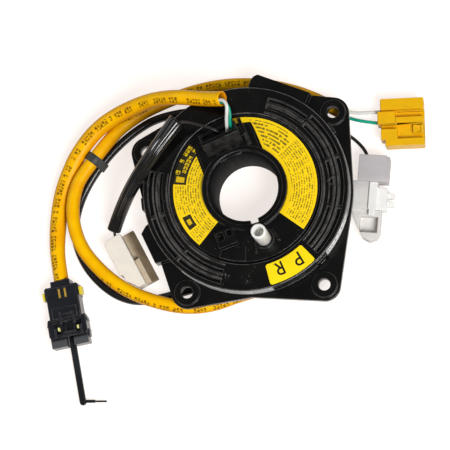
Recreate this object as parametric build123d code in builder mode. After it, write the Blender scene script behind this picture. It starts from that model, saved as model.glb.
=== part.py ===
from build123d import *
from math import cos, degrees, pi, radians, sin, tan
import os

# Steering clock spring: a fixed case with four ears, a rotor that turns in it, the ribbon cable
# between them, and the sleeved leads of both halves with their connectors.
# Millimetres. Z is the steering axis, pointing at the driver; z = 0 is the foot of the case.

# ---- driving dimensions: case ----
BORE_R = 16.3  # steering shaft passes here
HUB_WALL = 2.7
HUB_FIT = 0.06  # radial clearance of the hub tube in the case floor
CASE_R = 50.3  # outside of the case wall
CASE_WALL = 2.6
FLANGE_RIM = 1.3  # flange stands out this far round the wall
FLANGE_Z = 11.0  # underside of the flange
FLANGE_T = 3.5
FLOOR_T = 1.5
WALL_TOP_Z = 21.8  # seat of the cover ring
SPIGOT_R = 36.0  # foot that stands in the column switch
SPIGOT_WALL = 2.5
EAR_R = 7.8
EAR_HOLE_R = 2.9
EAR_BOSS_R = 6.3
EAR_BOSS_H = 1.6
EARS = [(6.86, 43.44), (9.37, 309.56), (7.12, 239.55), (4.85, 157.62)]  # distances beyond the wall, and angles
RUN_GAP = 0.3  # between parts that turn past each other

# ---- cover ring ----
RING_T = 3.2
RING_OVER = 0.1  # the ring stands this far outside the wall
DISC_GAP = 0.9  # between the ring and the rotor's disc
LEDGE_W = 2.4  # inner ledge under the rotor's edge
POCKET_DEPTH = 1.7
RIDGE_W = 0.5
RIDGE_H = 0.35
CLIP_ANGLES = [35.0, 142.0, 188.0, 317.0]
CLIP_W = 6.0
CLIP_T = 1.2
CLIP_RAISE = 1.5  # from the flange to the clip's tip
WINDOW = (1.4, 3.6)  # heights of the clip's window above its tip
CLIP_GAP = 0.15

# ---- rotor ----
DISC_R = 36.3
DISC_T = 2.0
COLLAR_W = 2.4
LEDGE_IN_W = 2.1  # inner step of the collar
COLLAR_H = 2.4
LEDGE_H = 0.6
KEY_ANGLE = 287.0
KEY_W = 3.8
KEY_DEPTH = 1.9
TOWER_ANGLE = 113.6
TOWER_H = 11.0
PIN_R = 3.65
PIN_H = 20.0  # from the disc to the pin's top
PIN_WALL = 1.15
PIN_ANGLE = 291.1
BOX_ANGLE = 252.1
PIN_OUT = 5.9  # pin and clip box stand this far outside the collar
LABEL_T = 0.15
LABEL_EDGE = 1.0  # from the disc's edge to the label

# ---- cords ----
YELLOW_UPPER_R = 3.7
YELLOW_LOWER_R = 3.4
BLACK_R = 3.5
THIN_R = 2.15
WIRE_R = 0.85
THIN_WIRE_R = 0.7
SLEEVE_WALL = 0.8
MOUTH_DEPTH = 9.0

# ---- sizes that follow ----
HUB_R = BORE_R + HUB_WALL
FLANGE_R = CASE_R + FLANGE_RIM
FLANGE_TOP_Z = FLANGE_Z + FLANGE_T
FLOOR_TOP_Z = FLANGE_Z + FLOOR_T
CHAMBER_R = CASE_R - CASE_WALL
RING_TOP_Z = WALL_TOP_Z + RING_T
RING_IN_R = DISC_R + DISC_GAP
RING_OUT_R = CASE_R + RING_OVER
RING_W = RING_OUT_R - RING_IN_R
CLIP_TIP_Z = FLANGE_TOP_Z + CLIP_RAISE
WINDOW_Z = (CLIP_TIP_Z + WINDOW[0], CLIP_TIP_Z + WINDOW[1])
DISC_TOP_Z = RING_TOP_Z
COLLAR_IN_R = BORE_R + LEDGE_IN_W
COLLAR_R = COLLAR_IN_R + COLLAR_W
COLLAR_TOP_Z = DISC_TOP_Z + COLLAR_H
LEDGE_TOP_Z = DISC_TOP_Z + LEDGE_H
TOWER_TOP_Z = DISC_TOP_Z + TOWER_H
PIN_TOP_Z = DISC_TOP_Z + PIN_H
PIN_HOLE_R = PIN_R - PIN_WALL
LABEL_OUT_R = DISC_R - LABEL_EDGE
LABEL_IN_R = COLLAR_R + LABEL_T

os.makedirs("parts", exist_ok=True)


def finish(piece, name):
    """Labels a finished piece and writes its file."""
    piece.part.label = name
    export_step(piece.part, f"parts/{name}.step")


def polar(radius, angle):
    """A point of the plan, from its radius and its angle in degrees."""
    return (radius * cos(radians(angle)), radius * sin(radians(angle)))


def sector(r_in, r_out, start, end):
    """Adds a ring sector, from one angle to another, to the sketch in hand."""
    middle = (start + end) / 2
    with BuildLine() as outline:
        Line(polar(r_in, start), polar(r_out, start))
        ThreePointArc(polar(r_out, start), polar(r_out, middle), polar(r_out, end))
        Line(polar(r_out, end), polar(r_in, end))
        ThreePointArc(polar(r_in, end), polar(r_in, middle), polar(r_in, start))
    make_face(outline.edges())


def ring_part(r_out, r_in, z_low, z_high):
    """Adds a plain ring about the steering axis to the part in hand."""
    with BuildSketch(Plane.XY.offset(z_low)) as section:
        Circle(r_out)
        Circle(r_in, mode=Mode.SUBTRACT)
    extrude(section.sketch, amount=z_high - z_low)


def block(plane, x_range, y_range, z_range, mode=Mode.ADD):
    """Adds or cuts a straight block, given by its ranges in a connector's own plane."""
    with BuildSketch(plane.offset(z_range[0])) as section:
        with Locations(((x_range[0] + x_range[1]) / 2, (y_range[0] + y_range[1]) / 2)):
            Rectangle(x_range[1] - x_range[0], y_range[1] - y_range[0])
    extrude(section.sketch, amount=z_range[1] - z_range[0], mode=mode)


def upright(plane, outline, across, mode=Mode.ADD):
    """Adds or cuts a profile drawn in a plane's x and z, extruded over a range of its y."""
    side = Plane(
        origin=plane.origin + plane.y_dir * across[1], x_dir=plane.x_dir, z_dir=-plane.y_dir
    )
    with BuildSketch(side) as section:
        with BuildLine():
            Polyline(*outline, close=True)
        make_face()
    extrude(section.sketch, amount=across[1] - across[0], mode=mode)


def lying_plane(at, heading):
    """The plane of a connector on the floor: x along its length, y across it, z up."""
    return Plane(origin=(at[0], at[1], 0), x_dir=(*polar(1, heading), 0), z_dir=(0, 0, 1))


# ==== fixed half ====
# ---- lower case: flange with four ears, wall, chamber floor, foot ring and lead outlet ----
OUTLET_X = (14.0, 33.0)
OUTLET_Y = (-50.4, -35.4)
OUTLET_WALL = 1.4
OUTLET_Z = (1.3, FLANGE_Z - OUTLET_WALL)
OUTLET_LID_T = 1.0
# outlines as distances beyond the wall, and angles
FLAP = [(-0.3, 90.34), (4.81, 88.86), (6.86, 87.39), (7.88, 85.47), (6.82, 57.37), (-1.7, 55.39)]
FLAP_TOP_Z = WALL_TOP_Z - 1.2
LUG = [(-1.11, 197.15), (2.42, 198.81), (5.61, 201.84), (6.69, 218.66), (0.69, 221.82)]
LUG_TOP_Z = WALL_TOP_Z - 2.8

EAR_AT = [polar(CASE_R + out, angle) for out, angle in EARS]

with BuildPart() as lower_case:
    for ear in EAR_AT:
        with BuildSketch(Plane.XY.offset(FLANGE_Z)) as lobe:
            Circle(FLANGE_R)
            with Locations(ear):
                Circle(EAR_R)
            make_hull()
        extrude(amount=FLANGE_T)
    with BuildSketch(Plane.XY.offset(FLANGE_Z)):
        Circle(CASE_R)
    extrude(amount=WALL_TOP_Z - FLANGE_Z)
    for outline, top_z in ((FLAP, FLAP_TOP_Z), (LUG, LUG_TOP_Z)):
        with BuildSketch(Plane.XY.offset(FLANGE_Z)):
            with BuildLine():
                Polyline(*[polar(CASE_R + out, angle) for out, angle in outline], close=True)
            make_face()
        extrude(amount=top_z - FLANGE_Z)
    # chamber of the ribbon cable, and the opening in its floor where the hub turns
    with BuildSketch(Plane.XY.offset(FLOOR_TOP_Z)):
        Circle(CHAMBER_R)
    extrude(amount=WALL_TOP_Z - FLOOR_TOP_Z, mode=Mode.SUBTRACT)
    ring_part(SPIGOT_R, SPIGOT_R - SPIGOT_WALL, 0, FLANGE_Z)
    # outlet box of the lower leads, hung under the flange and open on its left
    block(Plane.XY, OUTLET_X, OUTLET_Y, (OUTLET_Z[0], FLANGE_Z))
    block(
        Plane.XY,
        (OUTLET_X[0] - 1, OUTLET_X[1] - OUTLET_WALL),
        (OUTLET_Y[0] + OUTLET_WALL, OUTLET_Y[1] - OUTLET_WALL),
        OUTLET_Z,
        Mode.SUBTRACT,
    )
    with BuildSketch(Plane.XY.offset(FLANGE_Z)):
        Circle(HUB_R + HUB_FIT)
    extrude(amount=FLOOR_T, mode=Mode.SUBTRACT)
    # catches that stand in the windows of the cover ring's clips
    for angle in CLIP_ANGLES:
        half = degrees(CLIP_W / 4 / CASE_R) - degrees(CLIP_GAP / CASE_R)
        with BuildSketch(Plane.XY.offset(WINDOW_Z[0] + CLIP_GAP)):
            sector(CASE_R - 1, CASE_R + CLIP_T, angle - half, angle + half)
        extrude(amount=WINDOW_Z[1] - WINDOW_Z[0] - 2 * CLIP_GAP)
    # ears: raised bosses round the screw holes
    with BuildSketch(Plane.XY.offset(FLANGE_TOP_Z)):
        with Locations(*EAR_AT):
            Circle(EAR_BOSS_R)
    extrude(amount=EAR_BOSS_H)
    with BuildSketch(Plane.XY.offset(FLANGE_Z)):
        with Locations(*EAR_AT):
            Circle(EAR_HOLE_R)
    extrude(amount=FLANGE_T + EAR_BOSS_H, mode=Mode.SUBTRACT)
finish(lower_case, "lower_case")

# ---- cover ring: ribbed annular cover, clipped over the wall, with a ledge under the rotor ----
# pockets and ridges run in lanes, given as shares of the ring's width from its inner edge
PLAIN_LANES = ((0.29, 0.42), (0.67, 0.82))
INNER_LANES = ((0.27, 0.37), (0.54, 0.67))
PLAIN_RIDGES = (0.09, 0.47, 0.61)
INNER_RIDGES = (0.09, 0.43)
POCKET_FIELDS = [
    (348.8, 378.2, PLAIN_LANES),
    (379.8, 407.7, PLAIN_LANES),
    (409.3, 436.3, INNER_LANES),
    (168.8, 196.2, PLAIN_LANES),
    (197.8, 225.7, PLAIN_LANES),
    (227.3, 256.3, PLAIN_LANES),
    (318.0, 347.2, PLAIN_LANES),
]
RIDGE_FIELDS = [
    (168.8, 256.3, PLAIN_RIDGES),
    (318.0, 407.7, PLAIN_RIDGES),
    (409.3, 436.3, INNER_RIDGES),
]


def lane(share):
    """The radius of a lane's edge on the cover ring."""
    return RING_IN_R + share * RING_W


with BuildPart() as cover_ring:
    ring_part(RING_OUT_R, RING_IN_R, WALL_TOP_Z, RING_TOP_Z)
    ring_part(RING_IN_R + 0.2, RING_IN_R - LEDGE_W, WALL_TOP_Z, DISC_TOP_Z - DISC_T - RUN_GAP)
    top_rims = cover_ring.edges().filter_by(GeomType.CIRCLE).group_by(Axis.Z)[-1]
    chamfer(top_rims, length=0.45)
    for start, end, lanes in POCKET_FIELDS:
        with BuildSketch(Plane.XY.offset(RING_TOP_Z)):
            for inner, outer in lanes:
                sector(lane(inner), lane(outer), start, end)
        extrude(amount=-POCKET_DEPTH, mode=Mode.SUBTRACT)
    with BuildSketch(Plane.XY.offset(RING_TOP_Z)):
        for start, end, ridges in RIDGE_FIELDS:
            for ridge in ridges:
                sector(lane(ridge), lane(ridge) + RIDGE_W, start, end)
    extrude(amount=RIDGE_H)
    for angle in CLIP_ANGLES:
        half = degrees(CLIP_W / 2 / RING_OUT_R)
        with BuildSketch(Plane.XY.offset(WALL_TOP_Z)):
            sector(RING_OUT_R - 1, RING_OUT_R + CLIP_T, angle - half, angle + half)
        extrude(amount=RING_TOP_Z - WALL_TOP_Z - 0.6)
        with BuildSketch(Plane.XY.offset(CLIP_TIP_Z)):
            sector(RING_OUT_R, RING_OUT_R + CLIP_T, angle - half, angle + half)
        extrude(amount=WALL_TOP_Z - CLIP_TIP_Z)
        with BuildSketch(Plane.XY.offset(WINDOW_Z[0])):
            sector(RING_OUT_R - 0.1, RING_OUT_R + CLIP_T + 1, angle - half / 2, angle + half / 2)
        extrude(amount=WINDOW_Z[1] - WINDOW_Z[0], mode=Mode.SUBTRACT)
finish(cover_ring, "cover_ring")

# ---- outlet cover: plate under the outlet box ----
with BuildPart() as outlet_cover:
    with BuildSketch(Plane.XY.offset(OUTLET_Z[0] - OUTLET_LID_T)):
        with Locations((sum(OUTLET_X) / 2, sum(OUTLET_Y) / 2)):
            RectangleRounded(OUTLET_X[1] - OUTLET_X[0], OUTLET_Y[1] - OUTLET_Y[0], 1.2)
    extrude(amount=OUTLET_LID_T)
finish(outlet_cover, "outlet_cover")

# ---- ribbon cable: outer winding, inner winding and the turn between them ----
CABLE_Z = (FLOOR_TOP_Z + 0.5, WALL_TOP_Z - 0.4)
OUTER_WINDING = (CHAMBER_R - 0.4, CHAMBER_R - 2.8)
INNER_WINDING = (HUB_R + 3.2, HUB_R + 0.5)
TURN_T = 0.5
with BuildPart() as flat_cable:
    ring_part(*OUTER_WINDING, *CABLE_Z)
    ring_part(*INNER_WINDING, *CABLE_Z)
    turn_r = (OUTER_WINDING[1] - INNER_WINDING[0]) / 2
    turn_at = (OUTER_WINDING[1] + INNER_WINDING[0]) / 2
    with BuildSketch(Plane.XY.offset(CABLE_Z[0])):
        with Locations((turn_at, 0)):
            Circle(turn_r + TURN_T / 2)
            Circle(turn_r - TURN_T / 2, mode=Mode.SUBTRACT)
            with Locations((0, -turn_r)):
                Rectangle(4 * turn_r, 2 * turn_r, mode=Mode.SUBTRACT)
    extrude(amount=CABLE_Z[1] - CABLE_Z[0])
finish(flat_cable, "flat_cable")

# ---- index label on the plain part of the cover ring ----
with BuildPart() as index_label:
    with BuildSketch(Plane.XY.offset(RING_TOP_Z)) as index_shape:
        sector(RING_IN_R + 2.0, RING_OUT_R - 1.0, 285.5, 314.5)
        fillet(index_shape.vertices(), 1.2)
    extrude(amount=LABEL_T)
finish(index_label, "index_label")

# ---- seal tapes across the seam of case and cover ring ----
TAPE_Z = (FLANGE_TOP_Z + 1.7, RING_TOP_Z - 1.0)
TAPE_T = 0.18
for name, start, end in (("seal_tape_right", 321.5, 390.5), ("seal_tape_left", 233.0, 286.0)):
    with BuildPart() as seal_tape:
        with BuildSketch(Plane.XY.offset(TAPE_Z[0])):
            sector(RING_OUT_R + 0.02, RING_OUT_R + 0.02 + TAPE_T, start, end)
        extrude(amount=TAPE_Z[1] - TAPE_Z[0])
    finish(seal_tape, name)

# ==== turning half ====
# The tower's own plane: x outward from the collar, y across, z up from the disc.
TOWER = Plane(
    origin=(*polar(COLLAR_R, TOWER_ANGLE), DISC_TOP_Z), x_dir=(*polar(1, TOWER_ANGLE), 0), z_dir=(0, 0, 1)
)
TOWER_V = (-8.6, 10.6)  # width across the tower
TOWER_WALL = 1.4
TOWER_COVER = [
    (0.2, 1.6), (3.4, 10.2), (4.2, TOWER_H), (5.8, TOWER_H), (5.8, 9.6), (4.6, 9.2), (1.7, 1.6),
]
TOWER_BODY = [(1.7, 1.0), (1.7, 1.6), (4.6, 9.2), (5.8, 9.6), (10.0, 9.0), (11.2, 5.4), (11.2, 1.0)]
WELL_U = (5.8, 10.0)
WELL_FLOOR_H = 3.2
TOWER_BACK_U = 11.2
TOWER_BACK_H = 5.4
BASE_H = 1.6
BASE = [
    (-0.9, 67.2), (7.2, 82.4), (11.0, 87.0), (11.8, 113.0), (11.6, 138.5), (7.2, 144.6), (-0.9, 161.6),
]  # distances from the collar, and angles
BASE_MARGIN = 1.2  # between the base and the labels round it
CLIP_BOX = Plane(
    origin=(*polar(COLLAR_R + PIN_OUT, BOX_ANGLE), DISC_TOP_Z), x_dir=(*polar(1, 21), 0), z_dir=(0, 0, 1)
)
CLIP_BOX_H = 5.6
PAD = (29.0, DISC_R - 0.3, 250.5, 271.5)
PAD_H = 0.6
PIN_AT = polar(COLLAR_R + PIN_OUT, PIN_ANGLE)
PIN_BOSS_R = PIN_R + 1.25
PIN_SEAT_Z = DISC_TOP_Z + 1.0
PIN_SPIGOT_R = PIN_R - 1.45
PIN_FIT = 0.05
PIN_HOLE_DEPTH = 9.0
GUIDE_H = 1.6
GUIDE_RIBS = [(5.8, 11.8, 280.2, 281.6), (3.8, 10.2, 303.0, 304.4)]
BRACKET = [(-2.0, 1.0), (-0.4, 6.5), (2.2, 8.6), (10.0, 8.6), (11.0, 6.0), (11.0, 1.0)]
BRACKET_V = (-11.6, -9.9)
FOOT = [(-4.8, -1.0), (-4.2, 1.8), (-0.8, 2.6), (0.1, 1.6), (-0.8, -1.0)]
FOOT_V = (-5.2, 6.0)
KEYWAY = Plane(origin=(0, 0, 0), x_dir=(*polar(1, KEY_ANGLE), 0), z_dir=(0, 0, 1))


def tower_base(margin=0.0):
    """The outline of the tower's raised base, with a margin round it."""
    with BuildSketch() as outline:
        with BuildLine():
            Polyline(*[polar(COLLAR_R + out, angle) for out, angle in BASE], close=True)
        make_face()
        if margin:
            offset(amount=margin)
    return outline.sketch


with BuildPart() as rotor:
    ring_part(DISC_R, BORE_R, DISC_TOP_Z - DISC_T, DISC_TOP_Z)
    ring_part(HUB_R, BORE_R, 0, LEDGE_TOP_Z)
    ring_part(COLLAR_R, COLLAR_IN_R, DISC_TOP_Z - 0.5, COLLAR_TOP_Z)
    # raised base of the wire tower
    with BuildSketch(Plane.XY.offset(DISC_TOP_Z)):
        add(tower_base())
        Circle(COLLAR_IN_R, mode=Mode.SUBTRACT)
    extrude(amount=BASE_H)
    # tower behind its cover, the well that the leads leave by, and the bracket on its right
    upright(TOWER, TOWER_BODY, TOWER_V)
    well_v = (TOWER_V[0] + TOWER_WALL, TOWER_V[1] - TOWER_WALL)
    block(TOWER, WELL_U, well_v, (WELL_FLOOR_H, TOWER_H), Mode.SUBTRACT)
    block(TOWER, (WELL_U[1] - 0.1, TOWER_BACK_U + 0.5), well_v, (TOWER_BACK_H, TOWER_H), Mode.SUBTRACT)
    upright(TOWER, BRACKET, BRACKET_V)
    block(TOWER, (3.7, 6.7), (BRACKET_V[1] - 0.2, TOWER_V[0] + 0.2), (BASE_H - 0.5, 7.0))
    upright(TOWER, FOOT, FOOT_V)
    # clip box with its two slots
    block(CLIP_BOX, (-4.6, 4.6), (-4.0, 4.0), (-0.5, CLIP_BOX_H))
    block(CLIP_BOX, (-3.6, -0.6), (-0.6, 3.0), (1, CLIP_BOX_H + 1), Mode.SUBTRACT)
    block(CLIP_BOX, (1.0, 3.6), (0.4, 3.0), (1, CLIP_BOX_H + 1), Mode.SUBTRACT)
    # pad beside the box, guide ribs and seat of the locating pin
    with BuildSketch(Plane.XY.offset(DISC_TOP_Z)):
        sector(*PAD)
    extrude(amount=PAD_H)
    with BuildSketch(Plane.XY.offset(DISC_TOP_Z)):
        for inner, outer, start, end in GUIDE_RIBS:
            sector(COLLAR_R + inner, COLLAR_R + outer, start, end)
    extrude(amount=GUIDE_H)
    with BuildSketch(Plane.XY.offset(DISC_TOP_Z)):
        with Locations(PIN_AT):
            Circle(PIN_BOSS_R)
    extrude(amount=PIN_SEAT_Z - DISC_TOP_Z)
    with BuildSketch(Plane.XY.offset(DISC_TOP_Z - DISC_T)):
        with Locations(PIN_AT):
            Circle(PIN_SPIGOT_R + PIN_FIT)
    extrude(amount=DISC_T + PIN_SEAT_Z - DISC_TOP_Z, mode=Mode.SUBTRACT)
    # the bore stays clear, with its keyway cut through hub and collar
    with BuildSketch(Plane.XY):
        Circle(BORE_R)
    extrude(amount=TOWER_TOP_Z, mode=Mode.SUBTRACT)
    key_v = (-KEY_W / 2, KEY_W / 2)
    block(KEYWAY, (BORE_R - 1, BORE_R + KEY_DEPTH), key_v, (0, TOWER_TOP_Z), Mode.SUBTRACT)
    block(KEYWAY, (BORE_R, COLLAR_R + 1), key_v, (LEDGE_TOP_Z, TOWER_TOP_Z), Mode.SUBTRACT)
finish(rotor, "rotor")

# ---- tower cover: sloped front that slides on the wire tower ----
with BuildPart() as tower_cover:
    upright(TOWER, TOWER_COVER, TOWER_V)
finish(tower_cover, "tower_cover")

# ---- locating pin: hollow-ended white post, its spigot pressed in the disc ----
with BuildPart() as locating_pin:
    with BuildSketch(Plane.XY.offset(PIN_SEAT_Z)):
        with Locations(PIN_AT):
            Circle(PIN_R)
    extrude(amount=PIN_TOP_Z - PIN_SEAT_Z)
    chamfer(locating_pin.edges().group_by(Axis.Z)[-1], length=0.5)
    with BuildSketch(Plane.XY.offset(DISC_TOP_Z - DISC_T + 0.3)):
        with Locations(PIN_AT):
            Circle(PIN_SPIGOT_R)
    extrude(amount=PIN_SEAT_Z - DISC_TOP_Z + DISC_T - 0.3)
    with BuildSketch(Plane.XY.offset(PIN_TOP_Z)):
        with Locations(PIN_AT):
            Circle(PIN_HOLE_R)
    extrude(amount=-PIN_HOLE_DEPTH, mode=Mode.SUBTRACT)
finish(locating_pin, "locating_pin")

# ---- lower rotor: ring with two cancelling cams, pressed on the hub under the case ----
CAM_LOBE_R = SPIGOT_R - SPIGOT_WALL - 1.1
CAM_R = CAM_LOBE_R - 2.4
CAM_Z = (1.2, 4.4)
SLEEVE_R = HUB_R + 2.6
CAM_HALF_ANGLE = 14.0
with BuildPart() as lower_rotor:
    ring_part(CAM_R, HUB_R, *CAM_Z)
    ring_part(SLEEVE_R, HUB_R, CAM_Z[0], FLANGE_Z - 0.2)
    for angle in (0.0, 180.0):
        with BuildSketch(Plane.XY.offset(CAM_Z[0])):
            sector(CAM_R - 1, CAM_LOBE_R, angle - CAM_HALF_ANGLE, angle + CAM_HALF_ANGLE)
        extrude(amount=CAM_Z[1] - CAM_Z[0])
finish(lower_rotor, "lower_rotor")

# ---- disc labels, cut round the raised base of the tower ----
LABEL_SPANS = {"label_right": (-35.5, 101.0), "label_left": (141.0, 232.0)}
for name, span in LABEL_SPANS.items():
    with BuildPart() as disc_label:
        with BuildSketch(Plane.XY.offset(DISC_TOP_Z)):
            sector(LABEL_IN_R, LABEL_OUT_R, *span)
            add(tower_base(BASE_MARGIN), mode=Mode.SUBTRACT)
        extrude(amount=LABEL_T)
    finish(disc_label, name)

# ==== cords ====
# Each route is a list of points on the cord's middle line, from the end nearer the unit to the
# connector. Straight runs join them, with one arc at each point.
YELLOW_UPPER = [
    (-9.9, 41.8, 37.0), (-15.4, 42.5, 34.0), (-21.3, 43.5, 31.3), (-27.0, 44.4, 29.8),
    (-33.1, 45.3, 28.3), (-40.9, 46.1, 24.5), (-49.4, 46.1, 19.8), (-58.2, 44.5, 15.2),
    (-68.2, 41.0, 11.6), (-76.8, 35.6, 9.9), (-83.6, 28.6, 8.5), (-89.2, 20.4, 7.1), (-93.0, 12.1, 5.8),
    (-95.8, 4.3, 4.8), (-97.4, -4.3, 4.1), (-98.1, -13.5, 3.9), (-98.0, -22.7, 3.9),
    (-96.81, -31.77, 4.2), (-94.7, -42.0, 4.6),
]
BLACK_UPPER = [
    (-32.2, 32.0, 34.8), (-39.4, 22.8, 34.0), (-46.2, 13.8, 32.0), (-52.2, 6.2, 28.2),
    (-57.8, -0.2, 21.8), (-62.3, -5.8, 14.8), (-65.8, -11.4, 9.8), (-68.2, -16.8, 7.2),
]
YELLOW_LOWER = [
    (19.0, -45.2, 5.0), (7.5, -45.9, 4.8), (-6.5, -49.9, 4.4), (-15.5, -53.4, 4.5), (-24.5, -55.2, 5.4),
    (-32.0, -55.4, 6.9), (-39.5, -54.4, 7.9), (-47.8, -52.2, 8.1), (-56.0, -49.3, 8.1),
    (-64.1, -45.1, 8.1), (-71.8, -39.3, 8.1), (-78.2, -33.0, 8.1), (-83.3, -26.7, 8.1),
    (-87.0, -19.2, 8.1), (-89.1, -10.9, 8.1), (-89.4, -2.2, 8.1), (-87.7, 5.8, 8.1), (-85.2, 10.9, 8.1),
    (-81.9, 15.6, 8.0), (-76.6, 23.0, 7.9), (-71.6, 29.9, 6.7), (-66.9, 35.7, 5.4), (-57.9, 42.6, 4.6),
    (-47.6, 48.0, 3.8), (-34.0, 53.4, 3.6), (-18.5, 57.0, 3.6), (-3.0, 57.7, 3.6), (12.5, 55.8, 3.6),
    (27.0, 51.3, 3.6), (38.5, 45.6, 3.6), (46.8, 40.8, 3.6),
]
BLACK_LOWER = [
    (19.0, -39.3, 3.7), (6.4, -39.7, 3.3), (-7.0, -41.2, 2.5), (-21.0, -44.0, 2.3), (-35.5, -47.8, 2.3),
    (-46.5, -50.9, 2.3), (-56.8, -51.9, 2.3), (-64.9, -49.7, 2.3), (-71.4, -45.9, 2.3),
    (-77.5, -40.6, 2.3), (-82.8, -34.2, 2.3), (-86.6, -27.0, 2.3), (-88.9, -19.3, 2.3),
    (-89.2, -11.6, 2.3), (-87.6, -3.2, 2.3), (-84.4, 4.8, 2.6), (-80.0, 12.4, 3.2), (-74.2, 20.4, 3.2),
    (-67.3, 28.2, 2.6), (-59.5, 34.9, 2.3), (-50.6, 40.4, 2.3), (-39.5, 43.4, 2.3), (-26.0, 44.8, 2.3),
    (-12.0, 45.2, 2.3), (2.0, 44.9, 2.3), (16.0, 43.2, 2.3), (30.0, 39.8, 2.4), (42.0, 34.4, 2.6),
]
WHITE_LEAD_UPPER = [
    (-8.3, 26.4, 28.75), (-8.2, 30.8, 34.6), (-7.4, 34.6, 38.0), (-7.2, 38.3, 39.8), (-9.4, 40.7, 39.2),
    (-12.9, 41.1, 37.1), (-17.7, 41.7, 34.4),
]
GREEN_LEAD_UPPER = [
    (-5.9, 27.3, 28.75), (-6.9, 30.6, 33.0), (-6.2, 34.2, 35.4), (-6.9, 37.6, 37.0), (-8.7, 40.0, 37.1),
    (-12.4, 40.5, 35.1), (-16.8, 41.1, 32.8),
]
BLACK_LEAD_UPPER = [
    (-12.0, 25.9, 28.7), (-12.6, 26.7, 31.0), (-15.6, 28.2, 32.4), (-20.6, 29.6, 32.9),
    (-25.8, 31.0, 33.6), (-30.6, 31.4, 34.4), (-33.8, 28.6, 34.5), (-36.9, 25.0, 34.1),
]
BLACK_LEAD_TAIL = [
    (-67.2, -14.8, 8.1), (-68.4, -17.8, 6.9), (-67.4, -20.9, 5.8),
]
WHITE_LEAD_LOWER = [
    (41.6, 45.0, 4.6), (47.2, 41.8, 4.6), (55.8, 40.9, 5.2), (66.0, 41.6, 5.6),
]
GREEN_LEAD_LOWER = [
    (41.0, 43.0, 2.7), (47.0, 39.6, 2.7), (56.0, 36.9, 3.8), (66.0, 35.6, 4.6),
]
BLACK_LEAD_LOWER = [
    (37.8, 36.3, 2.6), (44.2, 33.3, 2.6), (50.6, 29.0, 2.8), (55.8, 23.6, 3.8), (58.0, 18.9, 4.9),
    (58.1, 15.4, 4.9),
]


def bend_radii(route):
    """The largest arcs that the runs of a route allow, one for each inner point."""
    points = [Vector(*point) for point in route]
    radii = []
    for before, here, after in zip(points, points[1:], points[2:]):
        turn = radians((here - before).get_angle(after - here))
        shorter = min((here - before).length, (after - here).length)
        radii.append(0.45 * shorter / tan(turn / 2))
    return radii


def cord(name, route, radius, start_hollow=0.0, end_hollow=0.0):
    """Makes a cord's tube along its route, with a drilled mouth where leads enter it."""
    radii = bend_radii(route)
    with BuildPart() as tube:
        with BuildLine() as middle:
            FilletPolyline(*route, radius=radii)
        with BuildSketch(Plane(origin=middle.line @ 0, z_dir=middle.line % 0)):
            Circle(radius)
        sweep()
        for along, depth in ((0, start_hollow), (1, end_hollow)):
            if depth:
                inward = (middle.line % along) * (1 - 2 * along)
                with BuildSketch(Plane(origin=middle.line @ along, z_dir=inward)):
                    Circle(radius - SLEEVE_WALL)
                extrude(amount=depth, mode=Mode.SUBTRACT)
    length = sum(edge.length for edge in middle.edges())
    drilled = pi * (radius - SLEEVE_WALL) ** 2 * (start_hollow + end_hollow)
    share = (tube.part.volume + drilled) / (pi * radius**2 * length)
    print(
        f"{name}: length {length:.1f}, tightest bend {min(radii) / (2 * radius):.1f}"
        f" diameters of {2 * radius:.1f}, volume over section times length {share:.4f}"
    )
    finish(tube, name)


cord("yellow_sleeve_upper", YELLOW_UPPER, YELLOW_UPPER_R, start_hollow=MOUTH_DEPTH)
cord("black_sleeve_upper", BLACK_UPPER, BLACK_R, start_hollow=MOUTH_DEPTH, end_hollow=5.0)
cord("yellow_sleeve_lower", YELLOW_LOWER, YELLOW_LOWER_R, end_hollow=MOUTH_DEPTH)
cord("black_sleeve_lower", BLACK_LOWER, THIN_R, end_hollow=6.0)
cord("white_lead_upper", WHITE_LEAD_UPPER, WIRE_R)
cord("green_lead_upper", GREEN_LEAD_UPPER, WIRE_R)
cord("black_lead_upper", BLACK_LEAD_UPPER, THIN_WIRE_R)
cord("black_lead_tail", BLACK_LEAD_TAIL, THIN_WIRE_R)
cord("white_lead_lower", WHITE_LEAD_LOWER, WIRE_R)
cord("green_lead_lower", GREEN_LEAD_LOWER, WIRE_R)
cord("black_lead_lower", BLACK_LEAD_LOWER, WIRE_R)

# ---- tie: band round the two lower sleeves ----
TIE_W = 4.4
TIE_T = 0.6
TIE_FIT = (0.15, 0.35)
YELLOW_RUN = (Vector(*YELLOW_LOWER[18]), Vector(*YELLOW_LOWER[19]))
BLACK_RUN = (Vector(*BLACK_LOWER[16]), Vector(*BLACK_LOWER[17]))
TIE_AXIS = (YELLOW_RUN[1] - YELLOW_RUN[0]).normalized()
TIE_AT = (YELLOW_RUN[0] + YELLOW_RUN[1]) / 2
TIE_PLANE = Plane(origin=TIE_AT, x_dir=Vector(TIE_AXIS.Y, -TIE_AXIS.X, 0), z_dir=TIE_AXIS)
black_way = BLACK_RUN[1] - BLACK_RUN[0]
black_share = (TIE_AT - BLACK_RUN[0]).dot(TIE_AXIS) / black_way.dot(TIE_AXIS)
black_at = TIE_PLANE.to_local_coords(BLACK_RUN[0] + black_way * black_share)

with BuildPart() as tie:
    for thickness, mode in ((TIE_T, Mode.ADD), (0.0, Mode.SUBTRACT)):
        with BuildSketch(TIE_PLANE.offset(-TIE_W / 2)):
            Circle(YELLOW_LOWER_R + TIE_FIT[0] + thickness)
            with Locations((black_at.X, black_at.Y)):
                Circle(THIN_R + TIE_FIT[1] + thickness)
            make_hull()
        extrude(amount=TIE_W, mode=mode)
finish(tie, "cord_tie")

# ==== connectors, each lying on the floor ====
LIE_Z = 0.3  # the housings stand on small feet of mould flash


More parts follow.
